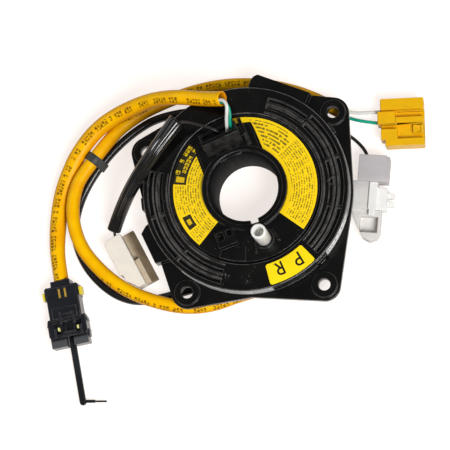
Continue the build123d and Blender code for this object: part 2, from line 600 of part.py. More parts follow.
def entry(plane, across, up, depth, radius=WIRE_R):
    """Cuts the hole of a connector's near end that a lead runs into."""
    near_end = Plane(
        origin=plane.origin + plane.y_dir * across + Vector(0, 0, up),
        x_dir=plane.y_dir,
        z_dir=plane.x_dir,
    )
    with BuildSketch(near_end.offset(-1)) as section:
        Circle(radius + 0.5)
    extrude(section.sketch, amount=depth + 1, mode=Mode.SUBTRACT)


# ---- squib connector of the upper yellow sleeve ----
SQUIB = lying_plane(YELLOW_UPPER[-1][:2], -78.4)
SQUIB_TOP_Z = 9.0
CONTACT_Y = (1.9, -1.1)  # the two contacts seen in the cover's slots
SQUIB_SIDE = [
    (2.6, 7.9), (3.4, 8.7), (9.0, 8.7), (9.4, 8.2), (18.6, 8.2), (19.8, 9.8), (27.4, 9.8), (28.0, 9.2),
]
with BuildPart() as squib_body:
    block(SQUIB, (0.02, 3.2), (-4.9, 4.9), (0.8, 9.2))
    with BuildSketch(SQUIB.offset(LIE_Z)):
        with BuildLine():
            Polyline(*SQUIB_SIDE, *[(x, -y) for x, y in reversed(SQUIB_SIDE)], close=True)
        make_face()
    extrude(amount=SQUIB_TOP_Z - LIE_Z)
    # latch recess with its two columns
    block(SQUIB, (20.6, 26.8), (-6.6, 7.4), (6.6, 10), Mode.SUBTRACT)
    block(SQUIB, (20.4, 27.0), (-1.5, -0.3), (6.5, 8.6))
    block(SQUIB, (20.4, 27.0), (3.0, 4.2), (6.5, 8.6))
    # base lobes at the far end
    block(SQUIB, (27.8, 33.0), (-9.6, -1.8), (LIE_Z, 7.5))
    block(SQUIB, (27.8, 33.0), (1.8, 9.2), (LIE_Z, 7.5))
    # seats of the side locks
    block(SQUIB, (4.4, 8.8), (-9, -7.4), (2.8, 8.2), Mode.SUBTRACT)
    block(SQUIB, (4.4, 8.8), (7.4, 9), (2.8, 8.2), Mode.SUBTRACT)
finish(squib_body, "squib_connector")

with BuildPart() as squib_cover:
    with BuildSketch(SQUIB.offset(SQUIB_TOP_Z)):
        with Locations((11.6, 0)):
            RectangleRounded(16.8, 15.8, 1.0)
        with Locations(*[(6.6, across) for across in CONTACT_Y]):
            Rectangle(4.8, 1.3, mode=Mode.SUBTRACT)
    extrude(amount=1.0)
    block(SQUIB, (14.0, 19.0), (-6.2, 6.2), (SQUIB_TOP_Z + 0.8, SQUIB_TOP_Z + 1.4))
finish(squib_cover, "squib_cover")

with BuildPart() as squib_locks:
    block(SQUIB, (4.6, 8.6), (-10.1, -7.4), (3.0, 8.0))
    block(SQUIB, (4.6, 8.6), (7.4, 10.1), (3.0, 8.0))
finish(squib_locks, "squib_locks")

with BuildPart() as squib_contacts:
    for across in CONTACT_Y:
        block(SQUIB, (4.4, 8.8), (across - 0.5, across + 0.5), (SQUIB_TOP_Z, SQUIB_TOP_Z + 0.6))
finish(squib_contacts, "squib_contacts")

with BuildPart() as squib_strap:
    with BuildSketch(SQUIB.offset(1.0)):
        with Locations((44.5, 0)):
            Rectangle(33.0, 3.2)
        with Locations((61.0, 0)):
            Circle(1.6)
    extrude(amount=1.6)
finish(squib_strap, "squib_strap")

# ---- yellow connector of the lower yellow sleeve ----
YELLOW_PLUG = lying_plane((62.9, 34.6), 1.5)
PLUG_END = 22.8  # far end, along the connector
with BuildPart() as yellow_connector:
    block(YELLOW_PLUG, (1.5, PLUG_END), (-8.2, 12.0), (LIE_Z, 6.8))
    block(YELLOW_PLUG, (3.6, PLUG_END), (-11.4, -8.1), (LIE_Z, 6.8))
    # rails along the top, and the raised blocks of the near end
    block(YELLOW_PLUG, (1.5, PLUG_END), (6.4, 12.0), (6.7, 11.0))
    block(YELLOW_PLUG, (2.0, PLUG_END), (-0.8, 2.9), (6.7, 9.4))
    block(YELLOW_PLUG, (3.6, PLUG_END), (-11.4, -7.8), (6.7, 9.4))
    block(YELLOW_PLUG, (0.0, 8.8), (-0.5, 6.0), (1.0, 9.8))
    block(YELLOW_PLUG, (1.5, 9.6), (-8.2, -2.8), (6.7, 9.4))
    entry(YELLOW_PLUG, 6.96, 5.5, 6)
    entry(YELLOW_PLUG, 0.98, 4.4, 6)
    # socket of the far end
    block(YELLOW_PLUG, (PLUG_END - 6, PLUG_END + 1), (-7.2, 7.2), (1.5, 6.0), Mode.SUBTRACT)
finish(yellow_connector, "yellow_connector")

with BuildPart() as yellow_lock:
    block(YELLOW_PLUG, (17.2, PLUG_END - 0.4), (-5.8, -0.9), (6.85, 9.0))
    block(YELLOW_PLUG, (19.2, 21.0), (-5.0, -1.8), (8.2, 9.5), Mode.SUBTRACT)
finish(yellow_lock, "yellow_connector_lock")

# ---- white connector of the lower black sleeve, in its holder ----
RIGHT_PLUG = lying_plane((62.0, 18.6), -94.6)
PLUG_SEAT_X = 13.0  # the holder's end block ends here
HOLDER_FOOT = [
    (26.9, -9.8), (31.0, -8.6), (40.6, -3.3), (42.2, 0.2), (40.6, 3.8), (38.4, 5.0), (26.9, 5.0),
]
HOLDER_FOOT_TOP = 8.0
with BuildPart() as right_holder:
    block(RIGHT_PLUG, (0.0, PLUG_SEAT_X), (-7.7, 5.7), (LIE_Z, 11.0))
    block(RIGHT_PLUG, (0.3, PLUG_SEAT_X), (5.6, 7.2), (LIE_Z, 9.4))
    block(RIGHT_PLUG, (PLUG_SEAT_X - 0.1, 27.0), (-9.8, -1.75), (LIE_Z, 9.0))
    with BuildSketch(RIGHT_PLUG.offset(LIE_Z)):
        with BuildLine():
            Polyline(*HOLDER_FOOT, close=True)
        make_face()
    extrude(amount=HOLDER_FOOT_TOP - LIE_Z)
    # recess of the mating connector's latch
    block(RIGHT_PLUG, (30.2, 38.0), (-5.2, 3.6), (3.2, HOLDER_FOOT_TOP + 1), Mode.SUBTRACT)
    entry(RIGHT_PLUG, -4.0, 4.9, 5)
finish(right_holder, "right_plug_holder")

with BuildPart() as right_plug:
    block(RIGHT_PLUG, (PLUG_SEAT_X + 0.05, 26.85), (-1.7, 2.3), (LIE_Z, 10.0))
    block(RIGHT_PLUG, (26.7, 30.0), (-1.2, 1.8), (HOLDER_FOOT_TOP + 0.05, 10.0))
    block(RIGHT_PLUG, (15.5, 26.85), (2.2, 7.2), (LIE_Z, 8.4))
    block(RIGHT_PLUG, (17.7, 20.2), (7.1, 10.6), (2.0, 6.0))
    block(RIGHT_PLUG, (21.6, 24.4), (7.1, 10.6), (2.0, 6.0))
finish(right_plug, "right_plug")

# ---- white connector of the upper black sleeve, in its holder ----
LEFT_PLUG = lying_plane((-66.4, -19.5), -61.0)
with BuildPart() as left_plug:
    with BuildSketch(LEFT_PLUG.offset(LIE_Z)):
        with BuildLine():
            Polyline(
                (0, -5.6), (0.8, -7.2), (2.4, -7.8), (19.0, -7.8), (19.0, -6.6), (22.6, -6.4), (28.5, -2.2),
                (28.5, 1.75), (0, 1.75), close=True,
            )
        make_face()
    extrude(amount=9.2)
    entry(LEFT_PLUG, -1.7, 5.7, 4, THIN_WIRE_R)
finish(left_plug, "left_plug")

with BuildPart() as left_holder:
    block(LEFT_PLUG, (0.4, 28.5), (1.8, 7.8), (LIE_Z, 3.0))
    block(LEFT_PLUG, (15.0, 28.5), (1.8, 4.4), (2.9, 6.5))
finish(left_holder, "left_plug_holder")
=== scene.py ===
"""Builds the looks of a steering clock spring over its fixed frame: the case and its turning disc,
the sleeved leads of both halves, and the connectors they end in. Run it inside Blender."""

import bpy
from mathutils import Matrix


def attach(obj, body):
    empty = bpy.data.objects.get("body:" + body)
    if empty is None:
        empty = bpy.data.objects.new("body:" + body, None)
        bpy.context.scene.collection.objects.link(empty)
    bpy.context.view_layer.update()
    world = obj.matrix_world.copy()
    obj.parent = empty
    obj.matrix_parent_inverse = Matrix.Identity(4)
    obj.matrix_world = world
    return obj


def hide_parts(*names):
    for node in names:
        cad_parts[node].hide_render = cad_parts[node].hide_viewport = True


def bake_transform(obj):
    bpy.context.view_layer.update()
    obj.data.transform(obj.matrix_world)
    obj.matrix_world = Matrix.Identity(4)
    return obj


bl_info = {
    "name": "Steering Clock Spring",
    "version": (1, 0, 0),
    "blender": (4, 5, 0),
    "location": "View3D > Sidebar > Clock Spring",
    "description": "Builds a steering clock spring with its sleeved leads and connectors",
    "category": "Add Mesh",
}

import math

import bmesh
import bpy
from mathutils import Matrix, Vector

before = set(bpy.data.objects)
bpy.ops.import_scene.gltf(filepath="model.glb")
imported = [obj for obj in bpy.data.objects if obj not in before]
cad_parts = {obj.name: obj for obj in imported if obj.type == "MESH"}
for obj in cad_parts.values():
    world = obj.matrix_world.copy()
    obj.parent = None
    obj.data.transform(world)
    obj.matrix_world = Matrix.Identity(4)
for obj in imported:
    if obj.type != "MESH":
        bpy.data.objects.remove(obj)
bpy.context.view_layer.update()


# ---- routes of the cords, from the unit to the connector ----
def metres(*points):
    """A route in metres, from points in millimetres."""
    return [tuple(number / 1000 for number in point) for point in points]


YELLOW_UPPER = metres(
    (-9.9, 41.8, 37.0), (-15.4, 42.5, 34.0), (-21.3, 43.5, 31.3), (-27.0, 44.4, 29.8), (-33.1, 45.3, 28.3),
    (-40.9, 46.1, 24.5), (-49.4, 46.1, 19.8), (-58.2, 44.5, 15.2), (-68.2, 41.0, 11.6), (-76.8, 35.6, 9.9),
    (-83.6, 28.6, 8.5), (-89.2, 20.4, 7.1), (-93.0, 12.1, 5.8), (-95.8, 4.3, 4.8), (-97.4, -4.3, 4.1),
    (-98.1, -13.5, 3.9), (-98.0, -22.7, 3.9), (-96.81, -31.77, 4.2), (-94.7, -42.0, 4.6),
)
BLACK_UPPER = metres(
    (-32.2, 32.0, 34.8), (-39.4, 22.8, 34.0), (-46.2, 13.8, 32.0), (-52.2, 6.2, 28.2), (-57.8, -0.2, 21.8),
    (-62.3, -5.8, 14.8), (-65.8, -11.4, 9.8), (-68.2, -16.8, 7.2),
)
YELLOW_LOWER = metres(
    (19.0, -45.2, 5.0), (7.5, -45.9, 4.8), (-6.5, -49.9, 4.4), (-15.5, -53.4, 4.5), (-24.5, -55.2, 5.4),
    (-32.0, -55.4, 6.9), (-39.5, -54.4, 7.9), (-47.8, -52.2, 8.1), (-56.0, -49.3, 8.1),
    (-64.1, -45.1, 8.1), (-71.8, -39.3, 8.1), (-78.2, -33.0, 8.1), (-83.3, -26.7, 8.1),
    (-87.0, -19.2, 8.1), (-89.1, -10.9, 8.1), (-89.4, -2.2, 8.1), (-87.7, 5.8, 8.1), (-85.2, 10.9, 8.1),
    (-81.9, 15.6, 8.0), (-76.6, 23.0, 7.9), (-71.6, 29.9, 6.7), (-66.9, 35.7, 5.4), (-57.9, 42.6, 4.6),
    (-47.6, 48.0, 3.8), (-34.0, 53.4, 3.6), (-18.5, 57.0, 3.6), (-3.0, 57.7, 3.6), (12.5, 55.8, 3.6),
    (27.0, 51.3, 3.6), (38.5, 45.6, 3.6), (46.8, 40.8, 3.6),
)
BLACK_LOWER = metres(
    (19.0, -39.3, 3.7), (6.4, -39.7, 3.3), (-7.0, -41.2, 2.5), (-21.0, -44.0, 2.3), (-35.5, -47.8, 2.3),
    (-46.5, -50.9, 2.3), (-56.8, -51.9, 2.3), (-64.9, -49.7, 2.3), (-71.4, -45.9, 2.3),
    (-77.5, -40.6, 2.3), (-82.8, -34.2, 2.3), (-86.6, -27.0, 2.3), (-88.9, -19.3, 2.3),
    (-89.2, -11.6, 2.3), (-87.6, -3.2, 2.3), (-84.4, 4.8, 2.6), (-80.0, 12.4, 3.2), (-74.2, 20.4, 3.2),
    (-67.3, 28.2, 2.6), (-59.5, 34.9, 2.3), (-50.6, 40.4, 2.3), (-39.5, 43.4, 2.3), (-26.0, 44.8, 2.3),
    (-12.0, 45.2, 2.3), (2.0, 44.9, 2.3), (16.0, 43.2, 2.3), (30.0, 39.8, 2.4), (42.0, 34.4, 2.6),
)
WHITE_UPPER = metres(
    (-8.3, 26.4, 28.75), (-8.2, 30.8, 34.6), (-7.4, 34.6, 38.0), (-7.2, 38.3, 39.8), (-9.4, 40.7, 39.2),
    (-12.9, 41.1, 37.1), (-17.7, 41.7, 34.4),
)
GREEN_UPPER = metres(
    (-5.9, 27.3, 28.75), (-6.9, 30.6, 33.0), (-6.2, 34.2, 35.4), (-6.9, 37.6, 37.0), (-8.7, 40.0, 37.1),
    (-12.4, 40.5, 35.1), (-16.8, 41.1, 32.8),
)
THIN_UPPER = metres(
    (-12.0, 25.9, 28.7), (-12.6, 26.7, 31.0), (-15.6, 28.2, 32.4), (-20.6, 29.6, 32.9),
    (-25.8, 31.0, 33.6), (-30.6, 31.4, 34.4), (-33.8, 28.6, 34.5), (-36.9, 25.0, 34.1),
)
THIN_TAIL = metres(
    (-67.2, -14.8, 8.1), (-68.4, -17.8, 6.9), (-67.4, -20.9, 5.8),
)
WHITE_LOWER = metres(
    (41.6, 45.0, 4.6), (47.2, 41.8, 4.6), (55.8, 40.9, 5.2), (66.0, 41.6, 5.6),
)
GREEN_LOWER = metres(
    (41.0, 43.0, 2.7), (47.0, 39.6, 2.7), (56.0, 36.9, 3.8), (66.0, 35.6, 4.6),
)
THIN_LOWER = metres(
    (37.8, 36.3, 2.6), (44.2, 33.3, 2.6), (50.6, 29.0, 2.8), (55.8, 23.6, 3.8), (58.0, 18.9, 4.9),
    (58.1, 15.4, 4.9),
)

# ---- feet and heads of the two index letters ----
P_FOOT, P_HEAD = (0.02589, -0.03192), (0.02892, -0.03679)
R_FOOT, R_HEAD = (0.01774, -0.03645), (0.02007, -0.04156)


# ---- shader maths ----
def sign(operation, turned=False):
    """A method that adds a Math node for a shade and another value, in turned order if asked."""

    def method(shade, other):
        return shade.math(operation, *((other, shade) if turned else (shade, other)))

    return method


def give(tree, socket, value):
    """Links a shade to a socket, or sets the socket's own value. A colour gets its fourth number."""
    if isinstance(value, Shade):
        tree.links.new(value.socket, socket)
    elif isinstance(value, tuple) and len(value) == 3 and socket.type == "RGBA":
        socket.default_value = (*value, 1)
    else:
        socket.default_value = value


class Shade:
    """A socket in a material. Signs between shades and numbers add Math nodes."""

    def __init__(self, tree, socket=None):
        self.tree = tree
        self.socket = socket

    def node(self, kind, settings=None, inputs=None, out=0):
        """Adds a node: its settings first, then the values or links of its sockets."""
        node = self.tree.nodes.new(kind)
        for key, value in (settings or {}).items():
            setattr(node, key, value)
        for key, value in (inputs or {}).items():
            give(self.tree, node.inputs[key], value)
        return Shade(self.tree, node.outputs[out])

    def math(self, operation, *values):
        return self.node("ShaderNodeMath", {"operation": operation}, dict(enumerate(values)))

    __add__ = sign("ADD")
    __radd__ = sign("ADD", turned=True)
    __sub__ = sign("SUBTRACT")
    __rsub__ = sign("SUBTRACT", turned=True)
    __mul__ = sign("MULTIPLY")
    __truediv__ = sign("DIVIDE")
    __mod__ = sign("FLOORED_MODULO")
    __gt__ = sign("GREATER_THAN")
    __lt__ = sign("LESS_THAN")

    def __abs__(self):
        return self.math("ABSOLUTE", self)

    def floor(self):
        return self.math("FLOOR", self)

    def smooth(self, low, high):
        """0 below low, 1 above high, and a smooth step between them."""
        return self.node(
            "ShaderNodeMapRange",
            {"interpolation_type": "SMOOTHSTEP"},
            {"Value": self, "From Min": low, "From Max": high},
        )

    def within(self, low, high):
        """1 between low and high, else 0."""
        return (self > low) * (self < high)

    def mix(self, low, high):
        """A colour that goes from low to high as this mask goes from 0 to 1."""
        inputs = {0: self, 6: low, 7: high}  # the factor, and the two sockets for colours
        return self.node("ShaderNodeMix", {"data_type": "RGBA"}, inputs, out=2)

    def noise(self, scale, detail=2.0, roughness=0.5):
        """Noise over this vector."""
        inputs = {"Vector": self, "Scale": scale, "Detail": detail, "Roughness": roughness}
        return self.node("ShaderNodeTexNoise", {}, inputs)

    def white(self):
        """A random number from 0 to 1 for each value of this vector."""
        return self.node("ShaderNodeTexWhiteNoise", {"noise_dimensions": "3D"}, {"Vector": self})

    def vector_math(self, operation, *values, out="Vector"):
        inputs = dict(enumerate(values))
        return self.node("ShaderNodeVectorMath", {"operation": operation}, inputs, out)

    def scaled(self, factors):
        """This vector, stretched by three factors."""
        return self.vector_math("MULTIPLY", self, factors)

    def moved(self, step):
        """This vector with another added."""
        return self.vector_math("ADD", self, step)

    def reach(self):
        """The length of this vector."""
        return self.vector_math("LENGTH", self, out="Value")

    def axis(self, index):
        """One number of this vector."""
        return self.node("ShaderNodeSeparateXYZ", {}, {0: self}, out=index)

    def vector(self, x, y, z=0.0):
        return self.node("ShaderNodeCombineXYZ", {}, {0: x, 1: y, 2: z})


class Finish:
    """A material with one main shader."""

    def __init__(self, name, **constants):
        self.material = bpy.data.materials.new(name)
        self.material.use_nodes = True
        self.tree = self.material.node_tree
        self.shader = self.tree.nodes["Principled BSDF"]
        self.start = Shade(self.tree)
        for key, value in constants.items():
            self.set(key.replace("_", " "), value)

    def set(self, socket, value):
        give(self.tree, self.shader.inputs[socket], value)

    def place(self):
        """Place on the piece, in metres."""
        return self.start.node("ShaderNodeTexCoord", out="Object")

    def route(self):
        """Place on a tube: metres along it, and the share of the way round it."""
        return self.start.node("ShaderNodeUVMap", {"uv_map": "route"})

    def bump(self, height, distance, strength=1.0, normal=None):
        inputs = {"Strength": strength, "Distance": distance, "Height": height}
        if normal:
            inputs["Normal"] = normal
        self.set("Normal", self.start.node("ShaderNodeBump", {}, inputs))

    def rounded(self, radius):
        """Normals that turn round the edges by a small radius."""
        return self.start.node("ShaderNodeBevel", {"samples": 6}, {"Radius": radius})


def linear(colour):
    """A picker's colour, 0 to 1 in the screen's curve, as the shader's own numbers."""
    return tuple(
        c / 12.92 if c <= 0.04045 else ((c + 0.055) / 1.055) ** 2.4 for c in tuple(colour)[:3]
    )


def shaded(colour, factor):
    """A colour made darker or lighter."""
    return tuple(c * factor for c in colour)


# ---- finishes ----
EDGE = 0.0004  # how far an edge's paler band, rubbed wear and painted highlight, reaches on moulded plastic
SLEEVE_GIRTH = 0.0228  # the way round a yellow sleeve


def moulded(name, colour, roughness, grain=0.00002, wear_and_highlight=0.3, gloss=0.28, scuffs=(),
            painted_shade_below=None, bore=0.0, paler_region=None):
    """Moulded black plastic: fine grain, sink marks, dull patches, dust, and edges paler by wear and
    painted highlight.
    Below the pockets' height it is darkened as painted shade. Bore is the radius of a matt inner wall with
    painted shade.
    The paler region is a mask and the lighter colour that it leads to."""
    finish = Finish(name, Roughness=roughness, Specular_IOR_Level=gloss)
    place = finish.place()
    patch = place.noise(60, 4, 0.6)
    sink = place.noise(130, 1, 0.4)
    fine = place.noise(2600, 2, 0.6)
    streak = place.scaled((900, 140, 500)).noise(1, 3, 0.7)
    dust = place.noise(1300, 0).smooth(0.8, 0.86) * patch.smooth(0.5, 0.65)
    normal = finish.start.node("ShaderNodeNewGeometry", out="Normal")
    facing = finish.start.vector_math("DOT_PRODUCT", finish.rounded(EDGE), normal, out="Value")
    turned = abs(finish.start.node("ShaderNodeNewGeometry", out="True Normal").axis(2))
    # paler edges: partly rubbed wear, partly a painted highlight on the bevels that would catch the lamps
    on_edge = turned.within(0.2, 0.96) * 0.8 + (1 - facing).smooth(0.01, 0.12) * 0.6
    rubbed_and_highlit = on_edge * (0.35 + place.noise(300, 3).smooth(0.35, 0.65) * 0.65)
    tone = patch.smooth(0.3, 0.75).mix(shaded(colour, 0.6), shaded(colour, 1.25))
    # painted shade: the pockets below this height are darkened
    if painted_shade_below:
        low = place.axis(2).smooth(painted_shade_below - 0.0004, painted_shade_below + 0.0006)
        tone = low.mix(shaded(colour, 0.12), tone)
    if paler_region:
        tone = paler_region[0](place).mix(tone, paler_region[1])
    tone = (rubbed_and_highlit * wear_and_highlight).mix(tone, (0.11, 0.105, 0.1))
    tone = (dust * 0.3).mix(tone, (0.25, 0.24, 0.22))
    rough = roughness - 0.07 + patch * 0.12 + streak.smooth(0.55, 0.8) * 0.1
    # painted shade: the bore's inner wall is darkened as well as made matt
    if bore:
        across = place.scaled((1, 1, 0)).reach()
        inner = 1 - across.smooth(bore, bore + 0.0003)
        rough = rough + inner * (0.9 - roughness)
        tone = inner.mix(tone, shaded(colour, 0.2))
    if scuffs:
        scratch = place.scaled((1500, 700, 900)).noise(1, 2, 0.6).smooth(0.56, 0.66)
        for x, y, wide in scuffs:
            away = place.scaled((1, 1, 0)).moved((-x, -y, 0)).reach()
            spot = (1 - away / wide).smooth(0.0, 0.6)
            tone = (spot * scratch * 0.55).mix(tone, (0.2, 0.19, 0.18))
            rough = rough + spot * scratch * 0.2
    finish.set("Base Color", tone)
    finish.set("Roughness", rough)
    fine_bump = finish.start.node(
        "ShaderNodeBump", {}, {"Strength": 0.6, "Distance": grain, "Height": fine + patch * 0.6}
    )
    finish.bump(sink, 0.00025, 0.5, fine_bump)
    return finish.material


def vinyl(name, colour, shade_colour, roughness, print_colour=None, print_line=None, gloss=0.5,
          creases=0.0, side=0.0):
    """Soft sleeve: drawn lines along it, faint blotches, painted shade deepening its sides, and a row of
    plain printed marks. Print_line says how far round it that row is; side is how strong the painted shade
    is."""
    finish = Finish(name, Roughness=roughness, Specular_IOR_Level=gloss)
    route = finish.route()
    along, round_it = route.axis(0), route.axis(1)
    place = finish.place()
    blotch = place.noise(90, 3, 0.6)
    drawn = finish.start.vector(along * 60, round_it * 90).noise(1, 2)
    flutes = finish.start.vector(along * 14, round_it * 7).noise(1, 1, 0.4)
    tone = blotch.smooth(0.3, 0.75).mix(colour, shade_colour)
    # painted shade: away from its top line the sleeve is darkened towards orange, as if lit from above
    if side:
        painted_shade_off_top = route.math("PINGPONG", round_it - 0.25, 0.5)
        tone = (painted_shade_off_top.smooth(0.06, 0.3) * side).mix(tone, (colour[0] * 0.6, colour[1] * 0.34, 0))
    scuff = place.noise(340, 4, 0.7).smooth(0.66, 0.8)
    tone = (scuff * 0.2).mix(tone, shaded(shade_colour, 0.5))
    if print_colour:
        across = (round_it - print_line(along)) * SLEEVE_GIRTH
        marks = dashes(along, across, width=0.0016, height=0.003, gaps=0.06, fill=0.38)
        worn = place.noise(700, 3, 0.7).smooth(0.3, 0.5)
        tone = (marks * worn * 0.8).mix(tone, print_colour)
    finish.set("Base Color", tone)
    finish.set("Roughness", roughness + blotch * 0.12 - 0.06 + scuff * 0.15)
    finish.bump(drawn + blotch + flutes * creases, 0.00006, 0.35)
    return finish.material


def dashes(along, across, width, height, gaps, fill, row=0.0):
    """A mask of small printed marks, one cell wide each, in one row. They spell nothing. Gaps is
    the share of whole words left out, and row makes one row's marks differ from another's."""
    cell = (along / width).floor()
    inside = (along / width) % 1.0
    pick = along.vector(cell, row, 1.7).white()
    word = along.vector((cell / 6.0).floor(), row, 5.2).white()
    high = across / height
    body = (abs(high) < 0.34 + pick * 0.16) * (abs(inside - 0.46) < fill)
    notch_at = (along.vector(cell, row, 9.1).white() - 0.5) * 0.5
    notch = (abs(high - notch_at) < 0.11) * (inside > 0.3)
    return body * (1 - notch) * (pick > 0.12) * (word > gaps) * ((cell % 6.0) > 0.5)


def plain_plastic(name, colour, roughness, subsurface=0.0, gloss=0.5, dirt=0.88, gradient=None):
    """Pale or coloured moulded plastic, with flow marks and specks. Gradient is a mask and the
    darker colour that it leads to; on the left holder that is painted shadow."""
    finish = Finish(name, Roughness=roughness, Specular_IOR_Level=gloss)
    if subsurface:
        finish.set("Subsurface Weight", subsurface)
        finish.set("Subsurface Scale", 0.002)
        finish.set("Subsurface Radius", (1.0, 0.8, 0.6))
    place = finish.place()
    flow = place.scaled((1, 2.4, 1)).noise(110, 4, 0.6)
    grain = place.noise(2200, 2, 0.6)
    speck = place.noise(900, 1).smooth(0.76, 0.82)
    tone = flow.smooth(0.25, 0.8).mix(colour, shaded(colour, dirt))
    if gradient:
        tone = (gradient[0](place) * (0.75 + flow * 0.25)).mix(tone, gradient[1])
    tone = (speck * 0.3).mix(tone, shaded(colour, 0.4))
    finish.set("Base Color", tone)
    finish.set("Roughness", roughness + flow * 0.14 - 0.07)
    finish.bump(grain, 0.000015, 0.5)
    return finish.material


def finish_nodes(material, *nodes, round_off=0.0):
    """Gives CAD nodes their material, and rounds off their sharp edges a little."""
    for node in nodes:
        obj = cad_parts[node]
        obj.data.materials.clear()
        obj.data.materials.append(material)
        if round_off:
            weld = obj.modifiers.new("weld", "WELD")
            weld.merge_threshold = 1e-6
            bevel = obj.modifiers.new("round_off", "BEVEL")
            bevel.width = round_off
            bevel.segments = 2
            bevel.limit_method = "ANGLE"
            bevel.angle_limit = 0.6
            bevel.use_clamp_overlap = False
            bevel.harden_normals = True


# ---- tubes ----
WALL = 0.0008  # of a sleeve
MOUTH_STEPS = 6  # rings down the inside of a mouth
END_RADIUS = 0.88  # radius of a closed end's face, and where its round edge ends, as shares
END_ROUND = 0.1


def spline_line(route):
    """The middle line of a cord: points read from the NURBS spline that its route controls."""
    curve = bpy.data.curves.new("route_line", "CURVE")
    curve.dimensions = "3D"
    curve.resolution_u = 14
    spline = curve.splines.new("NURBS")
    spline.points.add(len(route) - 1)
    for point, place in zip(spline.points, route):
        point.co = (*place, 1)
    spline.order_u = 3
    spline.use_endpoint_u = True
    holder = bpy.data.objects.new("route_line", curve)
    mesh = bpy.data.meshes.new_from_object(holder)
    points = [vertex.co.copy() for vertex in mesh.vertices]
    bpy.data.objects.remove(holder)
    bpy.data.meshes.remove(mesh)
    bpy.data.curves.remove(curve)
    return points


def tube(name, line, radius, material, around=28, mouths=(0, 0), shape=None):
    """A tube along a line, with a drilled mouth of some depth at either end."""
    spots = []  # points of the line, each with its way on and the distance travelled
    total = 0.0
    for i, point in enumerate(line):
        if i:
            total += (point - line[i - 1]).length
        way = (line[min(i + 1, len(line) - 1)] - line[max(i - 1, 0)]).normalized()
        spots.append((point, way, total))

    def at(distance):
        distance = min(max(distance, 0), total)
        for (p0, w0, s0), (p1, w1, s1) in zip(spots, spots[1:]):
            if s1 >= distance:
                t = (distance - s0) / max(s1 - s0, 1e-9)
                return p0.lerp(p1, t), w0.lerp(w1, t).normalized()
        return spots[-1][0], spots[-1][1]

    lip = WALL * 0.35
    rings = []  # distance along, radius, texture place along
    if mouths[0]:
        for i in range(MOUTH_STEPS):
            inwards = mouths[0] * (1 - i / MOUTH_STEPS)
            rings += [(inwards, radius - WALL, -inwards)]
        rings += [(lip, radius - WALL, -lip), (0, radius - WALL + lip, 0), (0, radius - lip, 0)]
    else:
        rings += [(0, radius * END_RADIUS, 0)]
    rings += [(lip if mouths[0] else radius * END_ROUND, radius, lip)]
    rings += [(s, radius, s) for _, _, s in spots if lip * 2 < s < total - lip * 2]
    rings += [(total - (lip if mouths[1] else radius * END_ROUND), radius, total - lip)]
    if mouths[1]:
        rings += [(total, radius - lip, total), (total, radius - WALL + lip, total)]
        rings += [(total - lip, radius - WALL, total + lip)]
        for i in range(MOUTH_STEPS):
            inwards = total - mouths[1] * (i + 1) / MOUTH_STEPS
            rings += [(inwards, radius - WALL, total + mouths[1] * i / MOUTH_STEPS)]
    else:
        rings += [(total, radius * END_RADIUS, total)]

    bm = bmesh.new()
    layer = bm.loops.layers.uv.new("route")
    loops = []
    for distance, ring_radius, _ in rings:
        centre, way = at(distance)
        side = way.cross(Vector((0, 0, 1))).normalized()
        up = side.cross(way)
        ring = []
        for k in range(around):
            angle = math.tau * k / around
            reach = ring_radius * (shape(distance, angle) if shape else 1)
            place = centre + side * math.cos(angle) * reach + up * math.sin(angle) * reach
            ring.append(bm.verts.new(place))
        loops.append(ring)
    for (_, _, u0), (_, _, u1), low, high in zip(rings, rings[1:], loops, loops[1:]):
        for k in range(around):
            j = (k + 1) % around
            face = bm.faces.new((low[k], low[j], high[j], high[k]))
            face.smooth = True
            for loop, uv in zip(face.loops, ((u0, k), (u0, k + 1), (u1, k + 1), (u1, k))):
                loop[layer].uv = (uv[0], uv[1] / around)
    for ring, u in ((loops[0][::-1], rings[0][2]), (loops[-1], rings[-1][2])):
        face = bm.faces.new(ring)
        for loop in face.loops:
            loop[layer].uv = (u, 0.5)
    bmesh.ops.recalc_face_normals(bm, faces=bm.faces)
    return piece_from(bm, name, material)


def piece_from(bm, name, material):
    """Makes the finished mesh an object of the scene."""
    mesh = bpy.data.meshes.new(name)
    bm.to_mesh(mesh)
    bm.free()
    obj = bpy.data.objects.new(name, mesh)
    bpy.context.scene.collection.objects.link(obj)
    obj.data.materials.append(material)
    return obj


def bars(name, ground, strokes, round_off, material):
    """Bars with rounded edges on a ground plane. A stroke is its start, end, width, foot and top."""
    bm = bmesh.new()
    for (x0, y0), (x1, y1), width, foot, top in strokes:
        way = Vector((x1 - x0, y1 - y0, 0))
        lie = Matrix.Translation(((x0 + x1) / 2, (y0 + y1) / 2, (foot + top) / 2))
        lie = lie @ Matrix.Rotation(math.atan2(way.y, way.x), 4, "Z")
        lie = lie @ Matrix.Diagonal((way.length, width, top - foot, 1))
        made = bmesh.ops.create_cube(bm, size=1, matrix=lie)["verts"]
        edges = list({edge for vert in made for edge in vert.link_edges})
        bmesh.ops.bevel(
            bm, geom=edges, offset=round_off, offset_type="OFFSET", segments=3, profile=0.5, affect="EDGES"
        )
    bm.transform(ground)
    bmesh.ops.recalc_face_normals(bm, faces=bm.faces)
    obj = piece_from(bm, name, material)
    for face in obj.data.polygons:
        face.use_smooth = True
    obj.data.set_sharp_from_angle(angle=0.9)
    return obj


# ---- what a user would change ----
def number_prop(name, description, default, **more):
    return bpy.props.FloatProperty(name=name, description=description, default=default, **more)


def radius_prop(name, description, default):
    return number_prop(name, description, default, unit="LENGTH", precision=4)


def colour_prop(name, description, default):
    return bpy.props.FloatVectorProperty(
        name=name, description=description, default=default, subtype="COLOR_GAMMA", size=3, min=0, max=1
    )


